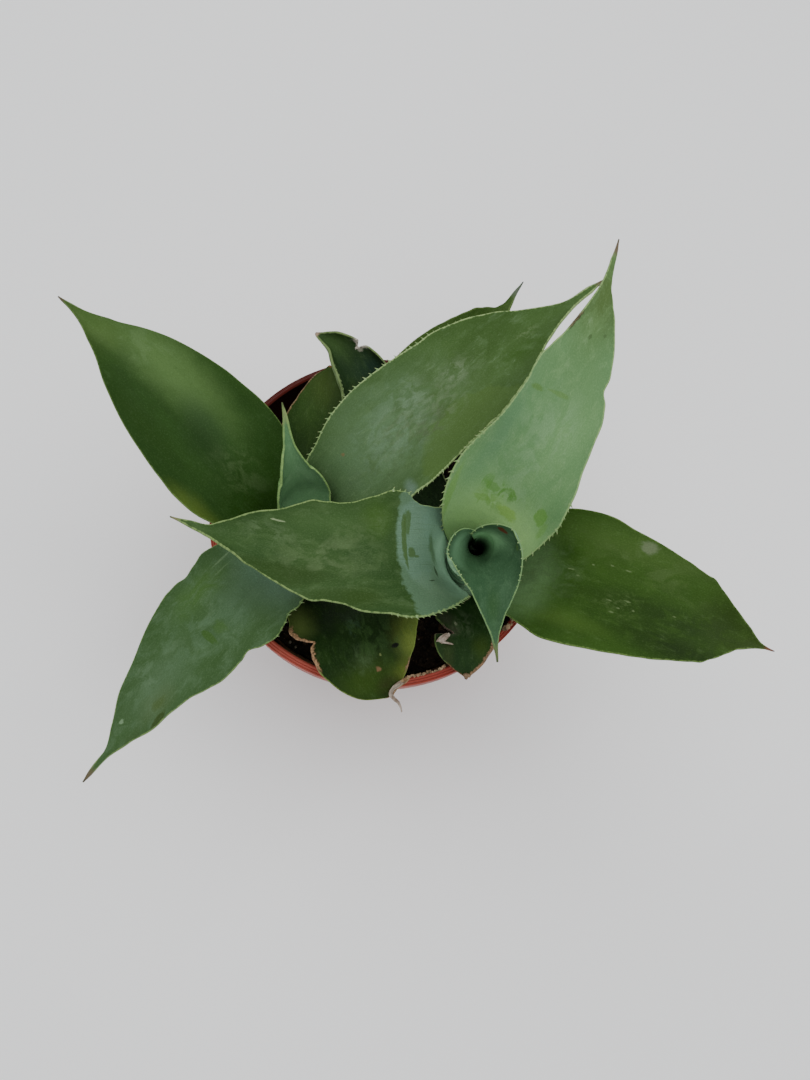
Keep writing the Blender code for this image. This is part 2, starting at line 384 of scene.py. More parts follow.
pot = grown_ring("nursery_pot", pot_rings(), POT_SIDES)
close_ends(pot)
deselect_all()
drill_parts = []
for hole in range(DRAIN_HOLES):
    turn = 2 * math.pi * (hole + 0.5) / DRAIN_HOLES + math.pi / 48
    place = (DRAIN_RING * math.cos(turn), DRAIN_RING * math.sin(turn), 0)
    bpy.ops.mesh.primitive_cylinder_add(vertices=32, radius=DRAIN_RADIUS, depth=12 * MM,
                                        location=place)
    drill_parts.append(bpy.context.object)
for part in drill_parts:
    part.select_set(True)
bpy.ops.object.join()
drill = bpy.context.object
holes = pot.modifiers.new("Drain holes", "BOOLEAN")
holes.object = drill
apply_modifiers(pot)
bpy.data.objects.remove(drill, do_unlink=True)
pick(pot)
bpy.ops.object.shade_smooth_by_angle(angle=math.radians(28))
print("pot faces:", len(pot.data.polygons))


# %% [markdown]
# The plastic is dull brick red and greyed by dust, with painted shade on its back and
# inside it. Dried soil clings to the inside of the rim and runs down in faint streaks.

# %% Pot: finish
def pot_plastic():
    f = Finish("pot_plastic", specular=0.2)
    tone = f.noise(f.place, 14, 4, 0.6)
    colour = f.mix(f.step(tone, 0.35, 0.7), (140, 58, 48), (172, 84, 70))
    streaks = f.noise(f.stretch(f.place, (90, 90, 7)), 1, 3)
    colour = f.mix(f.step(streaks, 0.52, 0.8, 0, 0.35), colour, (96, 38, 30))
    dust = f.noise(f.place, 220, 6, 0.7)
    colour = f.mix(f.step(dust, 0.55, 0.8, 0, 0.35), colour, (196, 132, 112))
    _, y, z = f.axes(f.place)
    inside = f.step(f.attribute("inner"), 0.05, 0.3)
    high = f.step(z, SOIL_TOP - 3 * MM, SOIL_TOP)
    # painted shade: the back of the pot is painted darker, most of all on the rim band, where
    # the leaves shade it
    shaded = f.times(f.step(y, -10 * MM, 45 * MM),
                     f.step(z, UNDER_RIM, RIM_HEIGHT - 3 * MM, 0.2, 0.9))
    colour = f.mix(shaded, colour, (62, 18, 14))
    # painted shade: the inside of the pot is painted near black, as its inner wall lies in
    # shade
    colour = f.mix(f.times(inside, 0.93), colour, (22, 10, 7))
    crust = f.step(f.noise(f.place, 120, 5, 0.65), 0.44, 0.56)
    front = f.step(y, -58 * MM, -40 * MM, 1, 0)
    colour = f.mix(f.times(crust, front, inside, high, 0.85), colour, (136, 106, 78))
    foot = f.step(z, 0.0, 20 * MM, 1, 0)
    grime = f.step(f.noise(f.place, 60, 5, 0.6), 0.4, 0.65)
    colour = f.mix(f.times(foot, grime, 0.6), colour, (84, 62, 48))
    rough = f.step(dust, 0.3, 0.8, 0.42, 0.7)
    scuffs = f.noise(f.stretch(f.place, (40, 40, 260)), 1, 4, 0.6)
    normal = f.bump(scuffs, 0.12, 0.0004)
    normal = f.bump(dust, 0.2, 0.0002, normal)
    return f.finish(colour, rough, normal)


def on_inner_wall(point):
    """1 on the inside of the pot and 0 elsewhere, for the painted shade and the dried soil on
    its inner wall.
    """
    span = math.hypot(point.x, point.y)
    wall = RIM_INSIDE if point.z > UNDER_RIM else wall_radius(point.z) - 0.8 * WALL
    return float(point.z > 0.9 * FLOOR_TOP and span < wall - 0.1 * MM)


point_values(pot.data, "inner", [on_inner_wall(vertex.co) for vertex in pot.data.vertices])
adopt(pot, pot_plastic(), "pot_plastic", "pot")
print("pot finished")

# %% [markdown]
# ## The soil
#
# Potting soil is dark, damp and crumbly, and it settles a little below the rim. It
# is one closed body that fills the pot, grown from a circle like the pot itself,
# with many rings across its top. Noise then lifts and sinks the top: broad
# hollows from watering first, and crumbs after a subdivision.

# %% Soil body
SOIL_LEVEL = 108 * MM
SOIL_SIDES = 128
SOIL_GAP = 0.3 * MM
SOIL_BOTTOM = FLOOR_TOP + SOIL_GAP
SOIL_POLE = 0.6 * MM
TOP_RINGS = 46


def soil_radius(z):
    return wall_radius(z) - WALL - SOIL_GAP


def soil_height(x, y):
    """Height of the soil's top: a slight crown, hollows and lumps."""
    spread = math.hypot(x, y) / soil_radius(SOIL_LEVEL)
    hollows = noise.noise(Vector((x * 38, y * 38, 0.7))) * 1.1 * MM
    lumps = noise.noise(Vector((x * 160, y * 160, 3.1))) * 0.9 * MM
    crown = 0.6 * MM * (1 - spread ** 2)
    return SOIL_LEVEL + (hollows + lumps) * min(1.0, (1.02 - spread) * 6) + crown - 0.6 * MM


def crumble(soil, size, depth):
    """Lift and sink the top, away from the wall. A larger size gives finer crumbs."""
    reach = soil_radius(SOIL_LEVEL) - 0.6 * MM
    for vertex in soil.data.vertices:
        if vertex.co.z > SOIL_LEVEL - 5 * MM and math.hypot(*vertex.co.xy) < reach:
            vertex.co.z += depth * noise.noise(vertex.co * size)


soil_rings = [(SOIL_POLE, SOIL_BOTTOM), (20 * MM, SOIL_BOTTOM)]
soil_rings += [(soil_radius(z * MM) - (1.5 * MM if z < 5 else 0), z * MM)
               for z in (3.8, 8, 30, 60, 90, 104, 107)]
for ring in range(TOP_RINGS):
    share = 1 - ring / TOP_RINGS
    soil_rings.append((max(SOIL_POLE, soil_radius(SOIL_LEVEL) * share), SOIL_LEVEL))
soil = grown_ring("potting_soil", soil_rings, SOIL_SIDES)
close_ends(soil)
for vertex in soil.data.vertices:
    if vertex.co.z > SOIL_LEVEL - 0.1 * MM:
        vertex.co.z = soil_height(vertex.co.x, vertex.co.y)
finer = soil.modifiers.new("Finer", "SUBSURF")
finer.subdivision_type = "SIMPLE"
finer.levels = finer.render_levels = 1
apply_modifiers(soil)
crumble(soil, 420, 0.8 * MM)
crumble(soil, 900, 0.5 * MM)
smooth(soil)
print("soil faces:", len(soil.data.polygons))


# %% Soil finish
def soil_skin():
    f = Finish("potting_soil", specular=0.25)
    tone = f.noise(f.place, 180, 6, 0.7)
    colour = f.mix(f.step(tone, 0.35, 0.7), (12, 10, 8), (44, 35, 26))
    crumbs = f.cells(f.place, 620)
    colour = f.mix(f.step(crumbs, 0.0, 0.5, 0.5, 0), colour, (62, 49, 36))
    flecks = f.noise(f.place, 700, 3, 0.7)
    colour = f.mix(f.step(flecks, 0.66, 0.74, 0, 0.6), colour, (125, 104, 78))
    rough = f.step(tone, 0.3, 0.7, 0.7, 0.95)
    normal = f.bump(crumbs, 0.6, 0.0009)
    normal = f.bump(flecks, 0.5, 0.0005, normal)
    return f.finish(colour, rough, normal)


adopt(soil, soil_skin(), "potting_soil", "soil")
print("soil finished")

# %% [markdown]
# Loose bits lie on the soil: flakes of bark, crumbs of soil and pale crumbs of
# perlite. A particle system could strew them, but its copies have no mesh of their
# own. So each kind is modelled once, with few faces, and many turned and resized
# copies of it are gathered in one mesh.

# %% Loose bits
def shaped_bit(kind):
    """One bit of size 1, as corners and faces."""
    deselect_all()
    if kind == "flake":
        bpy.ops.mesh.primitive_cube_add(size=1)
        bit = bpy.context.object
        bit.scale = (1.6, 0.9, 0.28)
    else:
        bpy.ops.mesh.primitive_ico_sphere_add(subdivisions=2, radius=0.5)
        bit = bpy.context.object
    settle(bit)
    if kind == "flake":
        bpy.ops.object.mode_set(mode="EDIT")
        bpy.ops.mesh.select_all(action="SELECT")
        bpy.ops.mesh.bevel(offset=0.09, segments=1)
        bpy.ops.object.mode_set(mode="OBJECT")
    for vertex in bit.data.vertices:
        vertex.co += 0.22 * noise.noise_vector(vertex.co * 1.9 + Vector((3, 1, 7)))
    corners = [vertex.co.copy() for vertex in bit.data.vertices]
    faces = [tuple(face.vertices) for face in bit.data.polygons]
    bpy.data.objects.remove(bit, do_unlink=True)
    return corners, faces


def gather_copies(name, corners, faces, places):
    """One mesh of many copies. Each place is a point, a turn and a size."""
    points, rings = [], []
    for where, turn, size in places:
        base = len(points)
        points += [where + turn @ (corner * size) for corner in corners]
        rings += [[base + i for i in face] for face in faces]
    mesh = bpy.data.meshes.new(name)
    mesh.from_pydata(points, [], rings)
    group = bpy.data.objects.new(name, mesh)
    bpy.context.scene.collection.objects.link(group)
    recalculate(group)
    return group


def loose_places(draw, count, small, large, tilt):
    """Random places on the soil, clear of the pot's wall."""
    reach = soil_radius(SOIL_LEVEL)
    places = []
    while len(places) < count:
        spread = reach * math.sqrt(draw.random()) * 0.985
        turn = draw.uniform(0, 2 * math.pi)
        x, y = spread * math.cos(turn), spread * math.sin(turn)
        size = draw.uniform(small, large) * MM
        lie = (Matrix.Rotation(draw.uniform(0, 2 * math.pi), 3, "Z")
               @ Matrix.Rotation(draw.uniform(-tilt, tilt), 3, "X")
               @ Matrix.Rotation(draw.uniform(-tilt, tilt), 3, "Y"))
        if spread + 0.8 * size < reach:
            places.append((Vector((x, y, soil_height(x, y) + 0.15 * size)), lie, size))
    return places


def crumb_skin(name, dark, light):
    f = Finish(name, specular=0.3)
    tone = f.noise(f.place, 260, 5, 0.7)
    colour = f.mix(f.step(tone, 0.35, 0.65), dark, light)
    grain = f.noise(f.place, 1500, 3, 0.6)
    return f.finish(colour, 0.85, f.bump(grain, 0.5, 0.0003))


for name, kind, seed, count, small, large, tilt, dark, light in (
        ("bark_flakes", "flake", 5, 420, 1.6, 4.6, 0.45, (20, 14, 10), (62, 46, 32)),
        ("soil_crumbs", "crumb", 6, 700, 0.8, 2.6, 1.5, (12, 10, 8), (40, 32, 24)),
        ("perlite_crumbs", "crumb", 7, 60, 0.8, 2.0, 1.5, (84, 76, 62), (150, 142, 126))):
    bits = gather_copies(name, *shaped_bit(kind),
                         loose_places(random.Random(seed), count, small, large, tilt))
    adopt(bits, crumb_skin(name + "_skin", dark, light), "potting_soil")
    print(name, "faces:", len(bits.data.polygons))

# %% [markdown]
# ## The stems and the bud
#
# Under its leaves each head has a short thick stem, ringed by the scars of leaves
# that were pulled off. The heart of the larger head is a bud: the next leaf, still
# rolled up on itself. Both are round at heart, so both are grown from a circle, as
# the pot is; the bud becomes a roll when its points are drawn in less and less as
# they go round.

# %% Stems and bud, in millimetres: (x, y) of an axis, and (height, radius) up it
MAIN_AXIS = (37.0, -22.0)
MAIN_STEM = [(98, 10.0), (107, 12.0), (114, 12.0), (122, 10.5), (130, 8.5), (138, 6.0),
             (145, 4.0)]
OFFSET_AXIS = (-31.0, -4.0)
OFFSET_STEM = [(98, 9.0), (107, 11.0), (114, 10.5), (121, 9.0), (128, 6.5), (133, 4.0)]
BUD_AXIS = (35.0, -25.0)
BUD = [(145.3, 2.4), (149, 2.5), (153, 2.0), (157, 1.2), (160, 0.4)]


def profile_radius(profile, z):
    for (low_z, low_r), (high_z, high_r) in zip(profile, profile[1:]):
        if z <= high_z:
            return low_r + (high_r - low_r) * (z - low_z) / (high_z - low_z)
    return profile[-1][1]


def upright(name, axis, profile, sides, steps, ripple):
    """A closed round body on an upright axis, with ripple(z) added to its radius."""
    low, high = profile[0][0], profile[-1][0]
    rings = [(0.3 * MM, low * MM)]
    for i in range(steps + 1):
        z = low + (high - low) * i / steps
        rings.append(((profile_radius(profile, z) + ripple(z)) * MM, z * MM))
    rings.append((0.15 * MM, high * MM))
    body = grown_ring(name, rings, sides)
    close_ends(body)
    for vertex in body.data.vertices:
        vertex.co += Vector((axis[0] * MM, axis[1] * MM, 0))
    smooth(body)
    return body


def stem_skin():
    f = Finish("stem_bark", specular=0.3)
    rings = f.noise(f.stretch(f.place, (40, 40, 420)), 1, 4, 0.6)
    colour = f.mix(f.step(rings, 0.38, 0.64), (104, 96, 70), (142, 146, 112))
    stain = f.noise(f.place, 130, 5, 0.6)
    colour = f.mix(f.step(stain, 0.48, 0.7, 0, 0.7), colour, (70, 52, 36))
    z = f.axes(f.place)[2]
    fresh = f.step(z, 106 * MM, 116 * MM)       # sheathed by the young leaves
    colour = f.mix(fresh, colour, (112, 148, 116))
    # painted shade: the stem is painted near black green where it stands deep inside the rolled
    # leaf
    heart = f.step(z, 134 * MM, 142 * MM)       # dark inside the rolled leaf
    colour = f.mix(heart, colour, (16, 24, 14))
    return f.finish(colour, 0.75, f.bump(rings, 0.5, 0.0008))


def scar_rings(z):
    """The low rings that old leaves leave on a stem, fading into the soil, in mm."""
    return 0.3 * math.sin(z * 2.4) * min(1, (z - MAIN_STEM[0][0]) / 6) - 0.2


stem_bark = stem_skin()
for name, node, axis, profile in (("main_stalk", "main_stem", MAIN_AXIS, MAIN_STEM),
                                  ("offset_stalk", "offset_stem", OFFSET_AXIS, OFFSET_STEM)):
    stalk = upright(name, axis, profile, 64, 60, scar_rings)
    adopt(stalk, stem_bark, "stem", node)

BUD_TWIST = 60           # how far the roll winds in a metre of height, in radians
BUD_STEP = 0.1           # by what share of the radius the roll steps in and out
bud = upright("rolled_bud", BUD_AXIS, BUD, 48, 40, lambda z: 0.0)
for vertex in bud.data.vertices:
    away = Vector((vertex.co.x - BUD_AXIS[0] * MM, vertex.co.y - BUD_AXIS[1] * MM, 0))
    turn = (math.atan2(away.y, away.x) + vertex.co.z * BUD_TWIST) % (2 * math.pi)
    vertex.co += away * BUD_STEP * (turn / math.pi - 1)


def bud_skin():
    f = Finish("bud_skin", specular=0.4)
    lines = f.noise(f.stretch(f.place, (900, 900, 20)), 1, 3)
    # painted shade: the whole bud is painted near black green, as it lies deep in the roll
    # where little light reaches
    colour = f.mix(f.step(lines, 0.35, 0.65), (12, 20, 12), (22, 34, 20))
    return f.finish(colour, 0.5, f.bump(lines, 0.3, 0.0003))


adopt(bud, bud_skin(), "leaf_young", "main_bud")
print("stems and bud in place")

# %% [markdown]
# ## The leaves
#
# A leaf of this agave is a thick, waxy blade. It clasps the stem, widens, and narrows
# to a long dry needle; its edges carry small pale teeth. The imported model bends
# a sheet over a given route, with a half width and a cup at each
# station. The same routes are repeated here, and the sheet is a much finer grid,
# so that edges can wave, chip and curl. Pushing so many points by hand with
# operators would lose the route, so a formula moves the grid's points. Solidify
# then gives the flesh, and small teeth are set along the edges.

# %% Leaf routes, in millimetres
SEAT_SUNK = 1.2          # the clasping foot of a leaf grows out of the stem
HEADING_PULL = 0.35      # how far the seat's direction turns the cross-sections
ROLL_STARTS, ROLL_SPAN = 84, 58     # the cup, in degrees, at which a blade rolls up
LEFT_EXTRA = 0.4         # in the roll, the left edge goes on round by this share
LEFT_INWARDS = 0.55      # and winds in by this share of the radius
RIGHT_SHORT = 0.16       # above the roll, the right edge stops short by this share

# rosette, direction, seat height, half width and cup there, then the stations
# (x, y, z, half width, cup, roll) from the neck to the tip
LEAVES = {
    "main_leaf_back_folded": ("main", 126, 113, 9, 42, [
        (25, -6, 122, 12, 46, 0), (10, 16, 130, 15, 46, 0), (-3, 37, 136, 15, 46, 0),
        (-11, 54, 143, 11, 50, 0), (-20, 65, 147, 7, 50, 0), (-30, 73, 150, 1, 30, 0)]),
    "main_leaf_front_small": ("main", -96, 112, 9, 38, [
        (36, -40, 119, 12, 30, 0), (36, -50, 128, 16, 24, 0), (35, -59, 131, 14, 20, 0),
        (35, -66, 130, 8, 18, 0), (35, -71, 128, 2, 15, 0)]),
    "main_leaf_right": ("main", -12, 115, 10, 46, [
        (56, -26, 131, 20, 36, 0), (74, -31, 146, 28, 28, 0), (95, -39, 152, 26, 22, 0),
        (118, -47, 150, 21, 22, 0), (140, -53, 143, 12, 24, 0), (152, -57, 139, 5, 30, 0),
        (164, -60, 135, 1, 30, 0)]),
    "main_leaf_left": ("main", 188, 123, 12, 60, [
        (23, -24, 145, 21, 46, 0), (8, -27, 160, 25, 34, 0), (-13, -29, 167, 22, 28, 0),
        (-35, -28, 168, 17, 28, 0), (-57, -23, 171, 8, 32, 0), (-68, -21, 174, 2, 36, 0),
        (-79, -18, 177, 1, 30, 0)]),
    "main_leaf_upper_right": ("main", 60, 130, 12, 66, [
        (43, -11, 152, 21, 54, 0), (48, -2, 168, 24, 40, 0), (59, 14, 184, 19, 36, 0),
        (68, 33, 194, 14, 34, 0), (78, 57, 199, 6, 36, 0), (83, 72, 200, 2, 36, 0),
        (87, 88, 201, 1, 30, 0)]),
    "main_leaf_spear": ("main", -90, 139, 9, 110, [
        (35.5, -27, 156, 10, 170, 0), (34.8, -29.5, 170, 12, 170, 6),
        (34.3, -33.8, 177.5, 19.8, 145, 10), (35.8, -39.3, 184.2, 22, 99, 8),
        (36.2, -47, 190, 14.7, 61, 6), (35.4, -55, 195, 7.6, 48, 3), (35, -63, 200, 1.6, 44, 0),
        (35, -73, 204, 1, 30, 0)]),
    "offset_leaf_back_under": ("offset", 46, 113, 6, 30, [
        (-19, 9, 117, 8, 22, 0), (-2, 30, 121, 18, 20, 0), (18, 55, 127, 20, 18, 0),
        (34, 75, 132, 15, 20, 0), (49.5, 91, 136, 4, 26, 0), (63, 107, 141, 1, 30, 0)]),
    "offset_leaf_back_short": ("offset", 100, 116, 5, 26, [
        (-34, 15, 121, 7, 22, 0), (-31, 31, 126, 15, 20, 0), (-28, 45, 131, 13, 18, 0),
        (-26, 56, 134, 9, 18, 0), (-24, 65, 136, 2, 15, 0)]),
    "offset_leaf_front": ("offset", -68, 112, 8, 36, [
        (-25, -19, 118, 16, 24, 0), (-18, -34, 127, 24, 18, 0), (-11, -48, 134, 25, 16, 0),
        (-6, -61, 136, 21, 16, 0), (-1, -71, 134, 15, 16, 0), (4, -79, 131, 4, 16, 0)]),
    "offset_leaf_lower_left": ("offset", 238, 119, 7, 40, [
        (-41, -20, 134, 13, 28, 0), (-57, -39, 143, 22, 20, 0), (-74, -60, 145, 19, 20, 0),
        (-90, -81, 142, 11, 22, 0), (-102, -97, 138, 4, 28, 0), (-114, -112, 135, 1, 30, 0)]),
    "offset_leaf_upper_left": ("offset", 162, 115, 6, 30, [
        (-47, 1, 124, 12, 28, 0), (-62, 15, 139, 26, 28, 0), (-81, 34, 147, 25, 24, 0),
        (-101, 54, 149, 18, 24, 0), (-120, 71, 150, 7, 28, 0), (-139, 86, 151, 1, 30, 0)]),
    "offset_leaf_broad": ("offset", 38, 123, 9, 55, [
        (-16, 7, 140, 21, 42, 0), (0, 20, 154, 26, 32, 0), (24, 39, 165, 23, 28, 0),
        (46, 58, 171, 15, 28, 0), (72, 74, 176, 3, 34, 0), (89, 86, 178, 1, 30, 0)]),
    "offset_leaf_spear": ("offset", 98, 130, 9, 70, [
        (-33, 5, 140, 13, 62, 0), (-34, 7, 149, 12, 58, 0), (-36, 11, 159, 6, 52, 0),
        (-38, 17, 168, 2, 50, 0), (-40, 27, 179, 1, 30, 0)]),
}
print("leaves:", len(LEAVES))


# %% Leaf surface
def along(stations, u):
    """Catmull-Rom curve through the stations, u from 0 at the seat to 1 at the tip."""
    last = len(stations) - 1
    place = min(max(u, 0.0), 1.0) * last
    index = min(int(place), last - 1)
    t = place - index
    first, second = stations[index], stations[index + 1]
    before = stations[index - 1] if index else [2 * a - b for a, b in zip(first, second)]
    after = (stations[index + 2] if index + 2 <= last
             else [2 * b - a for a, b in zip(first, second)])
    return [0.5 * (2 * p1 + (p2 - p0) * t + (2 * p0 - 5 * p1 + 4 * p2 - p3) * t ** 2
                   + (3 * p1 - p0 - 3 * p2 + p3) * t ** 3)
            for p0, p1, p2, p3 in zip(before, first, second, after)]


def leaf_stations(leaf):
    rosette, direction, seat, half_width, cup, route = leaf
    axis, stem = (MAIN_AXIS, MAIN_STEM) if rosette == "main" else (OFFSET_AXIS, OFFSET_STEM)
    turn = math.radians(direction)
    reach = profile_radius(stem, seat) - SEAT_SUNK
    foot = (axis[0] + reach * math.cos(turn), axis[1] + reach * math.sin(turn), seat,
            half_width, cup, 0)
    return [foot] + route


def tip_taper(half_width, to_tip, blunt, needle):
    """Narrow a blade to its needle, or round off a blade that ends blunt."""
    if blunt:
        near = min(1.0, to_tip / blunt)
        return half_width * math.sqrt(max(0.0, 1 - (1 - near) ** 2)) + 0.1
    return min(half_width, 0.12 + needle[0] * to_tip + needle[1] * to_tip ** 2)


class LeafRow:
    """One cross-section of a leaf: its centre, its directions and its arc."""

    def __init__(self, stations, direction, u, rolled, blunt, needle):
        x, y, z, half_width, cup, roll = along(stations, u)
        to_tip = (Vector(stations[-1][:3]) - Vector((x, y, z))).length
        if u > 0.5:
            half_width = tip_taper(half_width, to_tip, blunt, needle)
        ahead = Vector(along(stations, u + 0.01)[:3])
        behind = Vector(along(stations, u - 0.01)[:3])
        tangent = (ahead - behind).normalized()
        turn = math.radians(direction)
        heading = Vector((tangent.x + HEADING_PULL * math.cos(turn),
                          tangent.y + HEADING_PULL * math.sin(turn), 0))
        side = Vector((0, 0, 1)).cross(heading)
        side = (side - side.dot(tangent) * tangent).normalized()
        upward = tangent.cross(side)
        tilt = math.radians(roll)
        self.side = side * math.cos(tilt) + upward * math.sin(tilt)
        self.upward = upward * math.cos(tilt) - side * math.sin(tilt)
        self.tangent = tangent
        self.centre = Vector((x, y, z))
        self.half_width = max(half_width, 0.1)
        self.arc = math.radians(max(cup, 1.0))
        self.radius = self.half_width / self.arc
        share = max(0.0, min(1.0, (cup - ROLL_STARTS) / ROLL_SPAN)) if rolled else 0.0
        self.roll_in = share * share * (3 - 2 * share)
        self.rolled = rolled

    def turned(self, v):
        """The angle round the arc. A rolled leaf's left edge goes on into the roll."""
        if self.rolled and v < 0:
            return self.arc * v * (1 - RIGHT_SHORT * (1 - self.roll_in))
        return self.arc * v * (1 + self.roll_in * LEFT_EXTRA * max(0.0, v) ** 2)

    def point(self, v, lift=0.0):
        """A point at v across the leaf, lifted off the sheet towards its upper face."""
        inwards = 1 - LEFT_INWARDS * self.roll_in * max(0.0, v) ** 1.3
        reach = self.radius * inwards - lift
        turn = self.turned(v)
        return (self.centre + self.radius * self.upward
                + reach * (math.sin(turn) * self.side - math.cos(turn) * self.upward))

    def outward(self, v):
        """Direction off the margin, in the sheet, away from the midrib."""
        sign = 1 if v > 0 else -1
        turn = self.turned(v)
        return sign * (math.cos(turn) * self.side + math.sin(turn) * self.upward)

    def normal(self, v):
        turn = self.turned(v)
        return math.cos(turn) * self.upward - math.sin(turn) * self.side


print("leaf rows ready")


# %% [markdown]
# Real blades are never quite regular. Margins ripple, an old edge is chewed or
# corky, and the sheet swells between its teeth. Each such thing is a small change of
# the half width or of the height along one margin. Proportional editing could pull each
# of them out by hand; here it is written as a few knots of (mm from the foot, change in
# mm), with an easy curve from one knot to the next, so that a blade stays exact.

# %% Margins: swells, cuts and lifts
RIGHT, LEFT = -1, 1      # seen from the foot of the blade towards its tip
WAVE_LENGTH = 14


def eased(knots, mm):
    """A value that eases from one (mm, value) knot to the next, and is 0 beyond them."""
    for (from_mm, first), (to_mm, second) in zip(knots, knots[1:]):
        if from_mm <= mm <= to_mm:
            share = (mm - from_mm) / (to_mm - from_mm)
            return first + (second - first) * share * share * (3 - 2 * share)
    return 0.0


@dataclass
class Margin:
    """What makes one blade's edges its own, in mm: places are measured from its foot."""
    seed: int
    wave: float                # how far the edges ripple by themselves
    teeth: tuple               # from and to
    tooth: float
    gap: float = 2.7
    bare: tuple = ()           # (side, from, to) without teeth
    right: tuple = ()          # knots: above 0 swells, below 0 cuts in
    left: tuple = ()
    lift_left: tuple = ()      # knots: how far the edge is raised
    thin: float = 1.0          # share of the usual edge thickness
    splay: float = 0.0         # how far the teeth lean outwards
    slim: float = 1.0          # below 1: narrow and tall teeth

    def swell(self, side, mm):
        wander = noise.noise(Vector((self.seed * 7.3 + side, mm / WAVE_LENGTH * 1.7, 0)))
        knots = self.left if side == LEFT else self.right
        return eased(knots, mm) + wander * self.wave * 0.5

    def lift(self, side, mm):
        roll = noise.noise(Vector((self.seed * 3.1 + 5 * side, mm / WAVE_LENGTH, 2.0)))
        knots = self.lift_left if side == LEFT else ()
        return eased(knots, mm) + roll * self.wave * 1.5


print("margins ready")

# %% Blade from a grid
BLADE_ROWS = 120
SPINE_BASE, SPINE_TIP, MARGIN_THICK = 4.6, 1.3, 0.9     # mm of flesh
FLESH = 5.0              # the thickness that a weight of 1 stands for
HALF_COLUMNS = [0, 0.09, 0.18, 0.27, 0.36, 0.45, 0.54, 0.63, 0.71, 0.79, 0.86, 0.915, 0.955,
                0.982, 1.0]
COLUMNS_ACROSS = [-v for v in reversed(HALF_COLUMNS[1:])] + HALF_COLUMNS


def flesh_thickness(row, margin, u, v):
    """Thick along the spine and at the foot, thin at the edges and the tip."""
    spine = SPINE_BASE + (SPINE_TIP - SPINE_BASE) * u ** 1.5
    edge = min(MARGIN_THICK * margin.thin, spine)
    return min(edge + (spine - edge) * (1 - abs(v) ** 1.5), 2.2 * row.half_width + 0.15)


def blade_rows(leaf, rolled=False, blunt=0.0, needle=(0.05, 0.010)):
    """The blade's cross-sections, each with the length walked from the foot to it."""
    stations = leaf_stations(leaf)
    rows = [LeafRow(stations, leaf[1], i / BLADE_ROWS, rolled, blunt, needle)
            for i in range(BLADE_ROWS + 1)]
    rows[0].mm = 0.0
    for one, two in zip(rows, rows[1:]):
        two.mm = one.mm + (two.centre - one.centre).length
    return rows


def blade_point(row, margin, u, v):
    """A point of the upper face, with the margin's own shape, and its place across."""
    side = LEFT if v > 0 else RIGHT
    share = 1 + margin.swell(side, row.mm) / max(row.half_width, 3.0)
    calm = min(1.0, u / 0.12, (1 - u) / 0.1)
    lift = margin.lift(side, row.mm) * calm * abs(v) ** 3
    swell = 0.25 * noise.noise(Vector((margin.seed * 5.7, row.mm / 11, v * 2.2)))
    return row.point(v * share, lift + swell * min(1.0, row.half_width / 8)), v * share


FLAT_UNIT = 100          # mm of blade to one unit of its flat map


def write_flat_map(mesh, along_mm, across_mm):
    """A UV map in true proportion: x runs along the blade, y across it from the midrib."""
    layer = mesh.uv_layers[0] if mesh.uv_layers else mesh.uv_layers.new()
    layer.name = "flat"
    for loop in mesh.loops:
        index = loop.vertex_index
        layer.data[loop.index].uv = (along_mm[index] / FLAT_UNIT, across_mm[index] / FLAT_UNIT)


def leaf_blade(name, leaf, margin, rows):
    """Bend one grid over the leaf's route, give it flesh, and round it off."""
    deselect_all()
    across = len(COLUMNS_ACROSS) - 1
    bpy.ops.mesh.primitive_grid_add(x_subdivisions=across, y_subdivisions=BLADE_ROWS, size=1)
    blade = bpy.context.object
    blade.name = name
    mesh = blade.data
    flesh = blade.vertex_groups.new(name="flesh")
    along_mm, across_mm, edge_mm, tip_mm = [], [], [], []
    for vertex in mesh.vertices:
        column = round((0.5 - vertex.co.x) * across)
        row_index = round((vertex.co.y + 0.5) * BLADE_ROWS)
        row, u, v = rows[row_index], row_index / BLADE_ROWS, COLUMNS_ACROSS[column]
        point, place = blade_point(row, margin, u, v)
        vertex.co = point * MM
        along_mm.append(row.mm)
        across_mm.append(place * row.half_width)
        edge_mm.append((1 - abs(v)) * row.half_width)
        tip_mm.append(rows[-1].mm - row.mm)
        flesh.add([vertex.index], min(1.0, flesh_thickness(row, margin, u, v) / FLESH),
                  "REPLACE")
    write_flat_map(mesh, along_mm, across_mm)
    point_values(mesh, "edge_mm", edge_mm)
    point_values(mesh, "tip_mm", tip_mm)
    upper_count = len(mesh.vertices)
    thick = blade.modifiers.new("Flesh", "SOLIDIFY")
    thick.thickness = FLESH * MM
    thick.offset = -1
    thick.vertex_group = "flesh"
    apply_modifiers(blade)
    under = [float(i >= upper_count) for i in range(len(blade.data.vertices))]
    point_values(blade.data, "under", under)
    soft = blade.modifiers.new("Soften", "SUBSURF")
    soft.levels = soft.render_levels = 1
    apply_modifiers(blade)
    smooth(blade)
    return blade


print("blade shape ready")

# %% [markdown]
# A tooth is a small thorn that grows from the horny rim of the blade. One is
# modelled from a cone with a squeezed, wide foot and a tip that leans back,
# and then copied along both edges at slightly uneven gaps. All of one blade's
# teeth are one mesh, so that they stay a single piece.

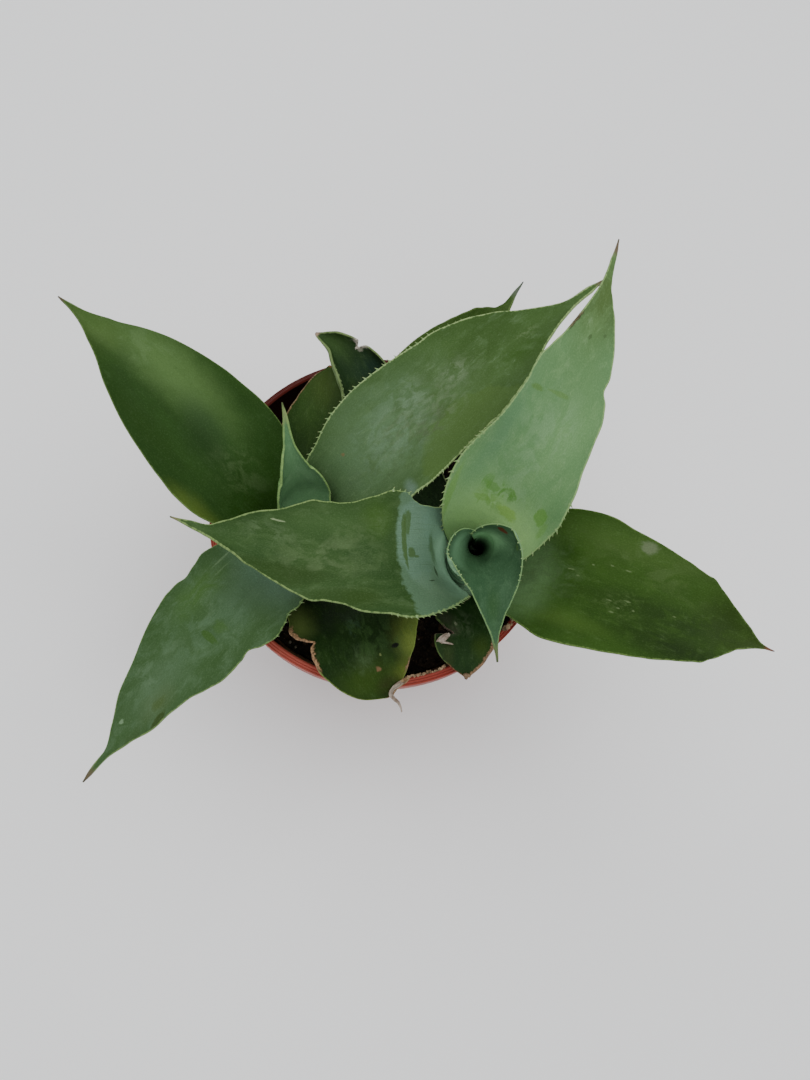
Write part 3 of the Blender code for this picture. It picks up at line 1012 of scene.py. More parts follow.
# %% One tooth
def model_tooth():
    """A thorn 1 mm tall on a wide foot: x runs along the margin, z points off it."""
    deselect_all()
    bpy.ops.mesh.primitive_cone_add(vertices=6, radius1=0.62, radius2=0.2, depth=0.55,
                                    location=(0, 0, 0.1))
    tooth = bpy.context.object
    bpy.ops.object.mode_set(mode="EDIT")
    bpy.ops.mesh.select_mode(type="FACE")
    bpy.ops.mesh.select_all(action="DESELECT")
    edit = bmesh.from_edit_mesh(tooth.data)
    for face in edit.faces:
        face.select = face.normal.z > 0.9
    bmesh.update_edit_mesh(tooth.data)
    bpy.ops.mesh.extrude_region_move(TRANSFORM_OT_translate={"value": (-0.16, 0, 0.35)})
    bpy.ops.transform.resize(value=(0.55, 0.55, 1))
    bpy.ops.mesh.extrude_region_move(TRANSFORM_OT_translate={"value": (-0.14, 0, 0.28)})
    bpy.ops.transform.resize(value=(0.3, 0.3, 1))
    bpy.ops.object.mode_set(mode="OBJECT")
    settle(tooth)
    corners = [vertex.co.copy() for vertex in tooth.data.vertices]
    faces = [tuple(face.vertices) for face in tooth.data.polygons]
    bpy.data.objects.remove(tooth, do_unlink=True)
    return corners, faces


TOOTH_CORNERS, TOOTH_FACES = model_tooth()
print("a tooth has", len(TOOTH_FACES), "faces")


# %% Teeth along the margins
def tooth_row(name, margin, rows):
    """Copies of the tooth along both edges, all in one mesh, smaller towards the tip."""
    draw = random.Random(margin.seed)
    first, last = margin.teeth
    points, faces, height = [], [], []
    for side in (RIGHT, LEFT):
        walk = first
        while walk < min(last, rows[-1].mm - 2):
            walk += margin.gap * draw.uniform(0.75, 1.3)
            size = margin.tooth * draw.uniform(0.75, 1.2)
            size *= min(1.0, 2.4 * (1.05 - (walk - first) / (last - first)))
            if size < 0.3 or any(side == s and a <= walk <= b for s, a, b in margin.bare):
                continue
            place = next((i for i, row in enumerate(rows) if row.mm >= walk), BLADE_ROWS)
            row, back = rows[place], rows[place - 1]
            blend = (row.mm - walk) / max(row.mm - back.mm, 0.01)
            ahead = blade_point(row, margin, place / BLADE_ROWS, side)[0]
            behind = blade_point(back, margin, (place - 1) / BLADE_ROWS, side)[0]
            foot = ahead.lerp(behind, blend)
            edge = (ahead - behind).normalized()
            out = row.outward(side) - margin.splay * row.normal(side)
            out = (out - out.dot(edge) * edge).normalized()
            up = edge.cross(out).normalized() * side
            turn = Matrix((edge, up, out)).transposed()
            middle = foot - row.normal(side) * MARGIN_THICK * margin.thin * 0.45 - out * 0.3
            base = len(points)
            for corner in TOOTH_CORNERS:
                shaped = Vector((corner.x * 1.1 * margin.slim, corner.y * 0.62 * margin.slim,
                                 corner.z / margin.slim ** 0.8)) * size
                points.append((middle + turn @ shaped) * MM)
                height.append(corner.z)
            faces += [[base + i for i in face] for face in TOOTH_FACES]
    mesh = bpy.data.meshes.new(name)
    mesh.from_pydata(points, [], faces)
    point_values(mesh, "height", height)
    teeth = bpy.data.objects.new(name, mesh)
    bpy.context.scene.collection.objects.link(teeth)
    recalculate(teeth)
    return teeth


print("tooth rows ready")

# %% [markdown]
# ## The finish of a blade
#
# Agave skin is a green ground under a thin bluish wax. The wax is thick and pale on
# young leaves and is rubbed off in blotches and streaks on old ones, where the green
# shows dark. Fine lines run from base to tip, the margin is a paler horny rim, and
# the needle is dry and brown-grey. One recipe covers every blade, with its own
# tones, and a list of marks puts bloom, scars and spots where a blade has them. On
# some blades washes and marks are also painted light and painted shade.

# %% Marks, and corky edges and bands of painted shade
@dataclass
class Mark:
    """A patch on a blade: its place and size along and across in mm, and its colour."""
    place: tuple
    size: tuple
    tone: tuple
    strength: float = 0.8
    blur: float = 0.5
    ragged: float = 0.35
    grain: float = 40
    comb: bool = False         # broken up by fine lines along the blade
    bend: float = 1.2          # how far the outline strays from an oval
    patchy: bool = False       # many worn bits of the grain's size, not one patch


def wash(place, size, tone, strength=0.6):
    """A mark with no edge: it only shades one tone into the next."""
    return Mark(place, size, tone, strength, blur=0.95, ragged=0.2, grain=7, bend=0.35)


def worn(place, size, tone, strength=0.4, grain=14):
    """Wax rubbed off, or left on, in many small bits over one stretch of a blade."""
    return Mark(place, size, tone, strength, blur=0.8, ragged=0.3, grain=grain, patchy=True)


@dataclass
class CorkAndShadeBand:
    """A band along one margin, from one place to another: a dead, tan border, and on the spear
    a dark band of painted shade.
    """
    side: int
    first: float
    last: float
    width: float = 1.2
    tone: tuple = (166, 132, 98)


def paint_mark(f, flat, colour, mark):
    """One soft or ragged patch in the blade's own frame. Returns the new colour."""
    along, across = (FLAT_UNIT / size for size in mark.size)
    middle = tuple(place / FLAT_UNIT for place in mark.place)
    scaled = f.vector("MULTIPLY", f.vector("SUBTRACT", flat, (*middle, 0)), (along, across, 0))
    # a coarse noise bends the outline, so that no patch is a plain oval
    bent = f.noise(f.stretch(flat, (along, across, 1)), 1.1, output="Color")
    pull = f.vector("SUBTRACT", bent, (0.5, 0.5, 0.5))
    far = f.vector("LENGTH", f.vector("MULTIPLY_ADD", pull, (mark.bend, mark.bend, 0), scaled))
    rough_edge = f.math("SUBTRACT", f.noise(flat, mark.grain, 5, 0.68), 0.5)
    reach = f.math("ADD", far, f.times(rough_edge, mark.ragged * 2))
    amount = f.step(reach, 1 - mark.blur, 1, mark.strength, 0)
    if mark.patchy:
        bits = f.noise(f.stretch(flat, (0.7, 1.2, 1)), mark.grain, 6, 0.62, 0.7)
        amount = f.times(amount, f.step(bits, 0.46, 0.6))
    if mark.comb:
        lines = f.noise(f.stretch(flat, (5, 190, 1)), 1, 3, 0.7)
        amount = f.times(amount, f.step(lines, 0.36, 0.5, 0.25, 1))
    return f.mix(amount, colour, mark.tone)


def paint_cork_and_shade_band(f, flat, edge, colour, cork):
    """A ragged and mottled band, tan where it is a dead border and dark green where it is
    painted shade. Returns the new colour and its amount.
    """
    along, across, _ = f.axes(flat)
    ragged = f.noise(flat, 34, 5, 0.7)
    reach = f.step(ragged, 0.32, 0.68, 0.45 * cork.width, 1.45 * cork.width)
    near = f.step(f.math("DIVIDE", edge, reach), 0.7, 1.1, 1, 0)
    first, last = cork.first / FLAT_UNIT, cork.last / FLAT_UNIT
    starts = f.step(along, first - 0.02, first + 0.01)
    ends = f.step(along, last - 0.01, last + 0.02, 1, 0)
    this_side = f.step(f.times(across, cork.side), 0.0, 0.005)
    amount = f.times(near, starts, ends, this_side)
    shade = f.step(f.noise(flat, 120, 4, 0.7), 0.35, 0.65)
    tone = f.mix(shade, tuple(c * 0.6 for c in cork.tone), cork.tone)
    return f.mix(amount, colour, tone), amount


# %% Blade finish
SPECKS = 0.25            # strength of the tiny flecks and dots on every blade


def blade_skin(name, dark, mid, light, under, mottle=0.35, streak=0.15, wax=0.2,
               rim=(112, 138, 84), rim_width=0.45, needle=(104, 98, 76), needle_length=6,
               tip_tone=None, base_tone=None, gloss=0.5, marks=(), corks=(), seed=0):
    """The skin of one blade: ground, washes, blotches, wax, marks, specks, underside, rim,
    needle, and corky borders and bands of painted shade, in the order in which they lie over
    one another."""
    f = Finish(name, specular=0.17)
    flat = f.add("ShaderNodeUVMap", uv_map="flat").outputs[0]
    shifted = f.stretch(flat, (1, 1, 1), (seed * 3.7, seed * 1.9, 0))
    # the ground: two tones, changed towards the foot and the tip, and broad washes
    broad = f.noise(f.stretch(shifted, (2.2, 4.5, 1)), 1, 4, 0.55, 0.6)
    colour = f.mix(f.step(broad, 0.32, 0.68), dark, mid)
    if base_tone:
        colour = f.mix(f.step(f.axes(flat)[0], 0.08, 0.5, 0.85, 0), colour, base_tone)
    tip = f.attribute("tip_mm")
    if tip_tone:
        colour = f.mix(f.step(tip, 4, 48, 0.8, 0), colour, tip_tone)
    for mark in marks:
        if mark.blur > 0.9:
            colour = paint_mark(f, flat, colour, mark)
    # blotches, fine lines, streaks of wax, and the marks that lie on them
    blotch = f.noise(f.stretch(shifted, (6, 11, 1)), 1.6, 6, 0.62, 0.9)
    colour = f.mix(f.step(blotch, 0.45, 0.72, 0, mottle), colour, light)
    lines = f.noise(f.stretch(shifted, (1.2, 120, 1)), 1, 2, 0.6)
    colour = f.mix(f.step(lines, 0.5, 0.75, 0, streak * 0.5), colour, light)
    colour = f.mix(f.step(lines, 0.3, 0.5, streak * 0.5, 0), colour, dark)
    brushed = f.noise(f.stretch(shifted, (14, 40, 1)), 1.5, 6, 0.7, 0.3)
    waxy = f.times(f.step(brushed, 0.5, 0.75), f.step(blotch, 0.4, 0.6), wax)
    pale = tuple(0.6 * a + 0.4 * b for a, b in zip(light, (170, 190, 160)))
    colour = f.mix(waxy, colour, pale)
    for mark in marks:
        if mark.blur <= 0.9:
            colour = paint_mark(f, flat, colour, mark)
    # flecks and dots, the underside, and pores
    fleck = f.noise(f.stretch(shifted, (34, 42, 1)), 2.4, 3, 0.7)
    colour = f.mix(f.step(fleck, 0.7, 0.76, 0, SPECKS), colour, (140, 146, 110))
    dots = f.noise(f.stretch(shifted, (41, 50, 1)), 2.9, 2, 0.7)
    colour = f.mix(f.step(dots, 0.72, 0.78, 0, SPECKS * 1.4), colour, (50, 42, 22))
    below = f.attribute("under")
    under_light = tuple(min(255, c * 1.25 + 8) for c in under)
    under_tone = f.mix(f.step(brushed, 0.35, 0.7), under, under_light)
    colour = f.mix(f.step(below, 0.35, 0.65), colour, under_tone)
    pores = f.noise(f.stretch(shifted, (1, 1.6, 1)), 130, 3, 0.75)
    colour = f.mix(f.step(pores, 0.36, 0.64, 0.16, 0), colour, tuple(c * 0.55 for c in dark))
    colour = f.mix(f.step(pores, 0.5, 0.72, 0, 0.14), colour, pale)
    # the horny rim, the dry needle and its dark point
    edge = f.attribute("edge_mm")
    rim_noise = f.noise(f.stretch(shifted, (38, 4, 1)), 2, 4, 0.65)
    rim_reach = f.times(f.step(rim_noise, 0.3, 0.7, 0.4, 1.3), rim_width)
    near_rim = f.step(f.math("DIVIDE", edge, rim_reach), 0.3, 1.3, 1, 0)
    firm = f.step(rim_noise, 0.34, 0.56, 0.35, 0.85)
    colour = f.mix(f.times(near_rim, firm), colour, rim)
    dry = f.step(tip, needle_length * 0.55, needle_length * 1.15, 1, 0)
    colour = f.mix(dry, colour, needle)
    point_dark = f.step(tip, 0, needle_length * 0.35, 0.7, 0)
    colour = f.mix(point_dark, colour, tuple(c * 0.6 for c in needle))
    # relief: lines, fine grain, wrinkles, blotches and gritty cork
    normal = f.bump(lines, 0.2, 0.0003)
    normal = f.bump(f.noise(f.stretch(shifted, (60, 60, 1)), 3, 4, 0.6), 0.1, 0.0002, normal)
    wrinkles = f.noise(f.stretch(shifted, (34, 9, 1)), 1.6, 4, 0.55, 0.4)
    normal = f.bump(wrinkles, 0.22, 0.0006, normal)
    normal = f.bump(blotch, 0.3, 0.0007, normal)
    for cork in corks:
        colour, amount = paint_cork_and_shade_band(f, flat, edge, colour, cork)
        grit = f.times(f.noise(flat, 150, 4, 0.7), amount)
        normal = f.bump(grit, 0.7, 0.0008, normal)
    rough = f.step(blotch, 0.35, 0.7, gloss, gloss + 0.16)
    rough = f.math("ADD", rough, f.times(below, 0.12))
    return f.finish(colour, rough, normal)


def tooth_skin():
    f = Finish("tooth_horn", specular=0.4)
    height = f.attribute("height")
    colour = f.mix(f.step(height, 0.55, 0.95), (116, 146, 90), (146, 148, 106))
    worn = f.noise(f.place, 900, 3)
    colour = f.mix(f.step(worn, 0.4, 0.7, 0, 0.4), colour, (150, 164, 122))
    return f.finish(colour, 0.5, f.bump(worn, 0.2, 0.0001))


tooth_horn = tooth_skin()
print("blade finishes ready")

# %% Make a blade
slot_of = {row["node"]: row["material_slot"] for row in frame["record"]["subparts"]}


def make_blade(node, margin, skin, ends=None):
    """One leaf: its blade and its teeth, finished and adopted."""
    rows = blade_rows(LEAVES[node], **(ends or {}))
    blade = leaf_blade(node.replace("_leaf", "_blade"), LEAVES[node], margin, rows)
    finish = blade_skin("skin_" + node, seed=margin.seed - 1, **skin)
    adopt(blade, finish, slot_of[node], node)
    teeth = tooth_row(node.replace("_leaf", "_teeth"), margin, rows)
    adopt(teeth, tooth_horn, slot_of[node])
    print(node, "is", round(rows[-1].mm), "mm long, teeth:",
          len(teeth.data.polygons) // len(TOOTH_FACES))


print("blade maker takes", len(slot_of), "nodes")

# %% [markdown]
# The oldest leaf of the main head stands folded at the back. Its right edge has a notch
# with a corky lip, cut by knots less than 2 mm apart, and it ends in a short dry point.

# %% Folded leaf at the back
make_blade(
    "main_leaf_back_folded",
    ends=dict(needle=(0.32, 0.012)),
    margin=Margin(
        1, wave=0.3, teeth=(30, 112), tooth=1.2, gap=2.4, bare=[(RIGHT, 0, 200)],
        right=[(70, 0), (84, 4.2), (90, 4.4), (94.5, 3.9), (96.3, 3.0), (97.8, -0.6),
               (99.3, 3.3), (102, 3.9), (106, 4.0), (110, 3.4), (112.5, 2.0), (114.5, 0)],
        left=[(60, 0), (75, 1.0), (84, 2.6), (90, 4.4), (95, 3.4), (100, 1.2), (105, -0.8),
              (110, -0.8), (114, 0)],
        lift_left=[(40, 0), (70, 1.2), (90, 2.0), (103, 1.8), (112, 0.6), (115, 0)]),
    skin=dict(
        dark=(24, 45, 22), mid=(33, 55, 24), light=(50, 72, 36), under=(84, 104, 62),
        rim=(104, 122, 76), rim_width=0.3, needle=(150, 130, 112), needle_length=1.8,
        marks=[wash((106, -3), (14, 12), (56, 82, 34)),
               wash((88, -8), (10, 12), (26, 48, 36), 0.9),
               wash((92, -14), (7, 5), (24, 32, 14), 0.7),
               Mark((96.5, -9), (1.2, 2.0), (150, 146, 130), 0.7, ragged=0.6, grain=60)],
        corks=[CorkAndShadeBand(RIGHT, 96, 100.2, 1.3, (206, 196, 182))]))

# %% [markdown]
# A small damaged leaf hangs over the front of the rim. Bites and corky borders take up
# both its edges, and its needle has died off, so that it ends blunt.

# %% Small leaf at the front
make_blade(
    "main_leaf_front_small",
    ends=dict(blunt=6),
    margin=Margin(
        2, wave=0.4, teeth=(4, 14), tooth=0.8,
        right=[(15, 0), (20, -1.5), (25, -5.5), (28, -10), (30.2, -1.2), (33, -0.6),
               (40, -0.7), (45, 0)],
        left=[(12, 0), (20, -1.5), (25, -3.2), (30, -3.6), (35, -2.8), (40, -1.6), (46, 0)]),
    skin=dict(
        dark=(20, 42, 14), mid=(28, 52, 18), light=(44, 68, 30), under=(44, 66, 36),
        rim=(84, 104, 56), needle=(104, 78, 54), needle_length=1.4,
        marks=[wash((33, 6), (9, 6), (52, 70, 18)), wash((36, -8), (9, 4), (48, 56, 24), 0.6),
               wash((20, -9), (7, 7), (58, 58, 46), 0.7),
               Mark((22, -5), (1.6, 0.8), (128, 132, 108), 0.7, ragged=0.6, grain=60),
               worn((22, -2), (10, 9), (78, 92, 68), 0.5, 30),
               wash((26, -6), (4, 4), (62, 56, 48), 0.7)],
        corks=[CorkAndShadeBand(LEFT, 22, 46, 2.1, (152, 122, 92)),
               CorkAndShadeBand(RIGHT, 25, 30, 1.0, (120, 104, 90)),
               CorkAndShadeBand(RIGHT, 40, 46, 0.9, (122, 92, 62))]))

# %% [markdown]
# The broad right leaf is deep green and glossy. Large washes shade it from a pale foot to
# a dark end, and short pale marks are scratches in its wax. A light wash on its upper half
# is painted light, and dark washes along the lower half of its channel are painted shade.

# %% Right leaf
make_blade(
    "main_leaf_right",
    margin=Margin(
        3, wave=0.4, teeth=(14, 40), tooth=0.7,
        right=[(24, 0), (32, 1.0), (42, 2.4), (52, 2.2), (62, 1.4), (72, 0.8), (80, 0),
               (90, -0.8), (98, -0.4), (104, 0.8), (110, 1.8), (116, 1.7), (122, 0.6),
               (128, 0)],
        left=[(55, 0), (64, -0.7), (84, -0.7), (92, 0), (98, 0.6), (104, 2.2), (110, 2.8),
              (116, 2.6), (122, 2.2), (128, 1.8), (134, 0.8), (140, 0)]),
    skin=dict(
        dark=(36, 62, 10), mid=(46, 74, 18), light=(60, 88, 34), under=(56, 80, 44),
        tip_tone=(46, 64, 16), gloss=0.5, rim=(96, 120, 62), needle=(104, 66, 48),
        # painted light: the wash at (66, 19) on the upper half; painted shade: the dark washes
        # at (84, -4) and (92, -15) along the lower half of the channel
        marks=[wash((66, 19), (62, 12), (62, 88, 36), 0.8),
               wash((84, -4), (44, 10), (24, 46, 4), 0.8),
               wash((48, -19), (26, 7), (60, 86, 28), 0.7),
               wash((92, -15), (38, 10), (20, 40, 2), 0.9),
               wash((26, -4), (20, 30), (96, 128, 84), 0.85),
               wash((114, 3), (22, 16), (34, 54, 10), 0.85),
               worn((36, 2), (20, 22), (70, 92, 58), 0.45, 16),
               worn((72, 14), (44, 12), (78, 98, 56), 0.35, 10),
               Mark((71, 20.5), (4.6, 3.4), (116, 124, 100), 0.5, 0.6, 0.5, 26, bend=1.0),
               *[Mark(place, (length, 0.45), (112, 128, 88), 0.55, 0.7, 0.7, 80)
                 for place, length in (((44, 3), 1.8), ((47.5, 1), 0.8), ((59, 9), 1.2),
                                       ((52, 7), 0.9), ((66, 9), 1.6), ((69, -3), 1.8),
                                       ((62, -5), 1.4), ((89, -2), 1.2), ((66, -7), 1.0),
                                       ((64, -9.5), 1.5), ((72, -6), 0.9))],
               worn((66, -6), (12, 8), (84, 104, 62), 0.3, 50)]))

# %% [markdown]
# The left leaf lies across the offset. A blue-grey bloom covers its foot up to a ragged
# line: one large mark with a hard edge, two combed ones for its fine lines, and small
# green ones where a finger rubbed it off. Dark washes and marks on the lower half near its
# tip are painted shade, and a pale mark on the bloom beside the spear is painted light.

# %% Left leaf
make_blade(
    "main_leaf_left",
    margin=Margin(
        4, wave=0.3, teeth=(14, 76), tooth=1.4, gap=2.0,
        bare=[(RIGHT, 0, 43), (RIGHT, 51, 200), (LEFT, 57, 66), (LEFT, 73, 200)],
        left=[(25, 0), (35, 1.2), (40, 1.6), (46, 2.6), (51, 2.4), (56, 0.8), (64, 0.9),
              (70, -1.3), (76, -1.5), (80, -0.1), (86, -1.3), (92, -2.4), (100, -2.5),
              (106, -1.2), (115, 0)],
        right=[(22, 0), (30, -3.2), (36, -4.0), (40, -3.0), (44, -0.2), (50, 0.4),
               (57, -1.1), (66, -1.9), (71, -1.5), (76, -0.3), (84, 1.7), (90, 1.3),
               (97, 0.3), (108, 0.9), (115, -0.4), (121, -1.3), (130, 0)]),
    skin=dict(
        dark=(42, 68, 30), mid=(54, 80, 38), light=(74, 98, 58), under=(66, 92, 56),
        rim=(128, 152, 92), rim_width=0.4, needle_length=4, needle=(112, 112, 76),
        mottle=0.5,
        # painted shade: the first two washes darken the lower half of the blade near its tip
        marks=[wash((86, 8), (26, 6), (42, 64, 22), 0.6), wash((64, 18), (12, 8), (50, 72, 26)),
               wash((56, -14), (10, 12), (62, 92, 30), 0.5),
               worn((78, 3), (26, 14), (92, 110, 74), 0.4, 13),
               worn((62, -4), (14, 18), (82, 102, 64), 0.35, 22),
               worn((100, -5), (20, 7), (88, 108, 74), 0.45, 20),
               # painted shade: the next two dark marks, on the lower half near the tip
               Mark((92, 10), (20, 5.5), (40, 64, 22), 0.75, 0.5, 0.3, 14, bend=0.5),
               Mark((70, 17), (15, 5), (44, 68, 24), 0.6, 0.7, 0.4, 14, bend=0.6),
               wash((80, -12), (28, 9), (64, 92, 48), 0.5),
               Mark((6, 0), (43, 90), (86, 114, 88), 0.92, 0.04, 0.1, 14, bend=0.12),
               # painted light: this pale mark lifts the bloom beside the spear out of the
               # spear's shade
               Mark((16, 2), (20, 30), (156, 198, 168), 0.95, 0.88, 0.2, 10, bend=0.3),
               Mark((39, -6), (10, 21), (100, 130, 110), 0.75, 0.25, 0.2, 14, True, 0.5),
               Mark((28, -14), (9, 12), (98, 130, 112), 0.6, 0.6, 0.3, 20, True, 1.0),
               Mark((36, 14), (9, 10), (98, 124, 98), 0.6, 0.6, 0.4, 16, True, 1.2),
               Mark((44.4, -6), (1.6, 12), (66, 92, 46), 0.9, 0.35, 0.4, 46, bend=0.9),
               Mark((42.4, -13), (2.0, 6), (66, 92, 46), 0.8, 0.35, 0.4, 40, bend=0.9),
               Mark((41.2, -1), (2.2, 2.6), (66, 92, 46), 0.85, 0.35, 0.4, 50, bend=0.8),
               Mark((38.8, 0.5), (1.6, 0.7), (66, 92, 46), 0.75, 0.35, 0.4, 60),
               Mark((28, 14), (8, 9), (66, 92, 72), 0.5, 0.8, 0.4, 24),
               Mark((29, -2), (2.5, 8), (56, 84, 48), 0.6, 0.6, 0.5, 30),
               Mark((35, 11), (1.8, 0.35), (36, 46, 30), 0.9, 0.4, 0.4, 80),
               Mark((30.5, 7), (0.8, 3.4), (44, 62, 38), 0.8, 0.5, 0.4, 60),
               Mark((97, -10), (3.6, 0.5), (142, 158, 118), 0.75, 0.4, 0.4, 60)]))

# %% [markdown]
# The largest upright leaf has kept its wax. So its tones are pale and close together, and
# its marks are soft patches of a greener skin. Its foot is painted paler still, as painted
# light against the shade round the spear.

# %% Pale leaf at the upper right
make_blade(
    "main_leaf_upper_right",
    margin=Margin(
        5, wave=0.3, teeth=(12, 84), tooth=1.5, gap=2.8, bare=[(RIGHT, 55, 200)],
        right=[(34, 0), (45, 1.5), (56, 1.8), (65, 0.2), (72, 0.1), (79, 0.7), (85, 0.1),
               (89, -1.7), (95, 0.1), (103, 0.6), (115, 0), (122, -1.0), (130, -1.8),
               (139, -2.0), (147, 0)],
        left=[(83, 0), (89, 1.3), (93, 1.8), (98, 0.8), (104, 0)]),
    skin=dict(
        dark=(92, 130, 84), mid=(104, 142, 92), light=(120, 154, 104),
        # base_tone is painted light: it pales the foot against the shade round the spear
        under=(92, 124, 84), base_tone=(132, 168, 108), tip_tone=(74, 104, 56),
        rim=(136, 166, 102), rim_width=0.3, needle=(96, 84, 66), needle_length=8, wax=0.3,
        marks=[wash((60, 15), (40, 8), (88, 126, 90), 0.7),
               wash((98, 0), (34, 20), (86, 120, 74), 0.8),
               wash((124, 0), (30, 20), (70, 92, 44), 0.95),
               # painted light: this pale wash at the foot, against the shade round the spear
               wash((24, -4), (24, 30), (156, 198, 124), 0.85),
               worn((62, 0), (34, 20), (124, 156, 116), 0.4, 11),
               Mark((32, 21.4), (13, 2.0), (104, 144, 70), 0.6, 0.5, 0.3, 16, bend=0.4),
               worn((40, 2), (5.5, 14), (84, 130, 54), 0.9, 24),
               worn((33, 6), (5.5, 14), (100, 142, 60), 0.6, 24),
               Mark((39.4, 6.4), (2.2, 3.6), (88, 132, 58), 0.6, 0.35, 0.4, 40, bend=0.9),
               Mark((40.8, -1), (1.7, 3.2), (88, 132, 58), 0.45, 0.4, 0.4, 40, bend=0.9),
               Mark((33.5, 8), (2.2, 4.5), (104, 146, 66), 0.55, 0.5, 0.4, 30),
               Mark((31.8, -4), (3.6, 5.4), (128, 168, 78), 0.75, 0.35, 0.35, 30, bend=0.7),
               Mark((40, -16.5), (4.6, 3.2), (94, 138, 60), 0.8, 0.3, 0.3, 36, bend=0.7),
               Mark((36, -20), (5, 2.0), (98, 140, 62), 0.5, 0.6, 0.4, 30),
               Mark((82, 11), (1.5, 3.4), (84, 118, 58), 0.75, 0.5, 0.4, 34),
               Mark((83, 2), (1.3, 4.6), (88, 122, 62), 0.65, 0.5, 0.4, 34),
               Mark((107, 0), (1.3, 0.8), (62, 84, 46), 0.7, 0.5, 0.4, 50),
               Mark((109, -5), (1.0, 0.8), (62, 84, 46), 0.6, 0.5, 0.4, 50)],
        corks=[CorkAndShadeBand(LEFT, 107, 114, 0.8, (110, 104, 74))]))

# %% [markdown]
# The spear is the youngest open leaf, still rolled up below. Its rows turn in on
# themselves where the cup is deepest. Washes paint light on its two lobes and paint shade
# inside the roll, where light hardly reaches, and two dark bands of painted shade line its
# margins at the foot.

# %% Spear
make_blade(
    "main_leaf_spear",
    ends=dict(rolled=True, needle=(0.0, 0.0135)),
    margin=Margin(
        6, wave=0.2, teeth=(40, 66), tooth=0.8, gap=1.6, thin=0.5, splay=1.2,
        slim=0.5,
        right=[(40, 0), (46, -0.6), (52, -1.6), (58, -1.0), (66, 0.7), (74, 0.6), (80, 0)],
        left=[(50, 0), (56, -1.0), (62, -1.3), (68, -0.5), (74, 0)]),
    skin=dict(
        dark=(50, 80, 52), mid=(60, 92, 62), light=(78, 110, 78), under=(100, 136, 104),
        rim=(108, 138, 84), rim_width=0.25, needle=(86, 100, 60), needle_length=7,
        # painted light: the first two washes pale the lobes against the shade of the roll;
        # painted shade: the third darkens the inside of the roll
        marks=[wash((37, 13), (12, 11), (160, 216, 158), 0.95),
               wash((37, -13), (13, 10), (116, 160, 122), 0.9),
               wash((10, 0), (20, 30), (12, 18, 10), 0.95),
               wash((66, 0), (14, 4), (44, 74, 34)),
               Mark((46.7, 18.8), (0.75, 1.7), (84, 40, 22), 0.95, 0.3, 0.7, 60, bend=0.9),
               Mark((50, 16), (0.8, 1.6), (74, 104, 44), 0.6, 0.5, 0.7, 60)],
        # painted shade: these two dark green bands are no cork; they darken both margins at the
        # foot, deep in the roll
        corks=[CorkAndShadeBand(LEFT, 0, 35, 0.9, (34, 52, 34)), CorkAndShadeBand(RIGHT, 0, 33, 0.9, (34, 52, 34))]))

# %% [markdown]
# One leaf of the offset is nearly hidden by the broad one. Only its swelling edges and
# its tip peep out, so a plain skin is enough.

# %% Hidden leaf of the offset
make_blade(
    "offset_leaf_back_under",
    margin=Margin(
        7, wave=0.3, teeth=(20, 90), tooth=1.0,
        left=[(40, 0), (60, 2.0), (72, 1.6), (85, 1.6), (95, 1.7), (100, 1.6), (105, 2.4),
              (110, 3.3), (115, 3.9), (119, 2.2), (123, -1.0), (127, -2.3), (131, -2.2),
              (136, -1.1), (140, 0)],
        right=[(103, 0), (112, 2.6), (118, 3.8), (121, 2.2), (128, 1.0), (135, 0.6),
               (140, 0)]),
    skin=dict(
        dark=(46, 70, 22), mid=(58, 84, 32), light=(72, 96, 46), under=(60, 84, 46),
        rim=(92, 112, 62), needle=(86, 96, 80), needle_length=9))

# %% [markdown]
# A short, rounded leaf fills the gap at the back. A thin dry border runs along its left
# edge, and its end is dead.

# %% Short leaf of the offset
make_blade(
    "offset_leaf_back_short",
    ends=dict(blunt=5),
    margin=Margin(8, wave=0.4, teeth=(8, 20), tooth=0.6,
                  left=[(42, 0), (48, -1.0), (55, -1.6), (61, -1.6), (66, -0.8), (70, 0)]),
    skin=dict(
        dark=(34, 58, 18), mid=(48, 73, 28), light=(62, 86, 40), under=(54, 76, 40),
        rim=(118, 112, 70), rim_width=0.5, needle=(140, 96, 60), needle_length=1.0,
        base_tone=(30, 50, 18), marks=[wash((56, 0), (16, 12), (64, 80, 32), 0.6)],
        corks=[CorkAndShadeBand(LEFT, 34, 68, 0.55, (136, 116, 80)),
               CorkAndShadeBand(RIGHT, 60, 68, 0.7, (150, 104, 66))]))

# %% [markdown]
# The front leaf is nearly black with painted shade and yellow-green with painted light through
# it.
# It is the most damaged one: its right edge is bitten and corky, and its tip has
# broken off.

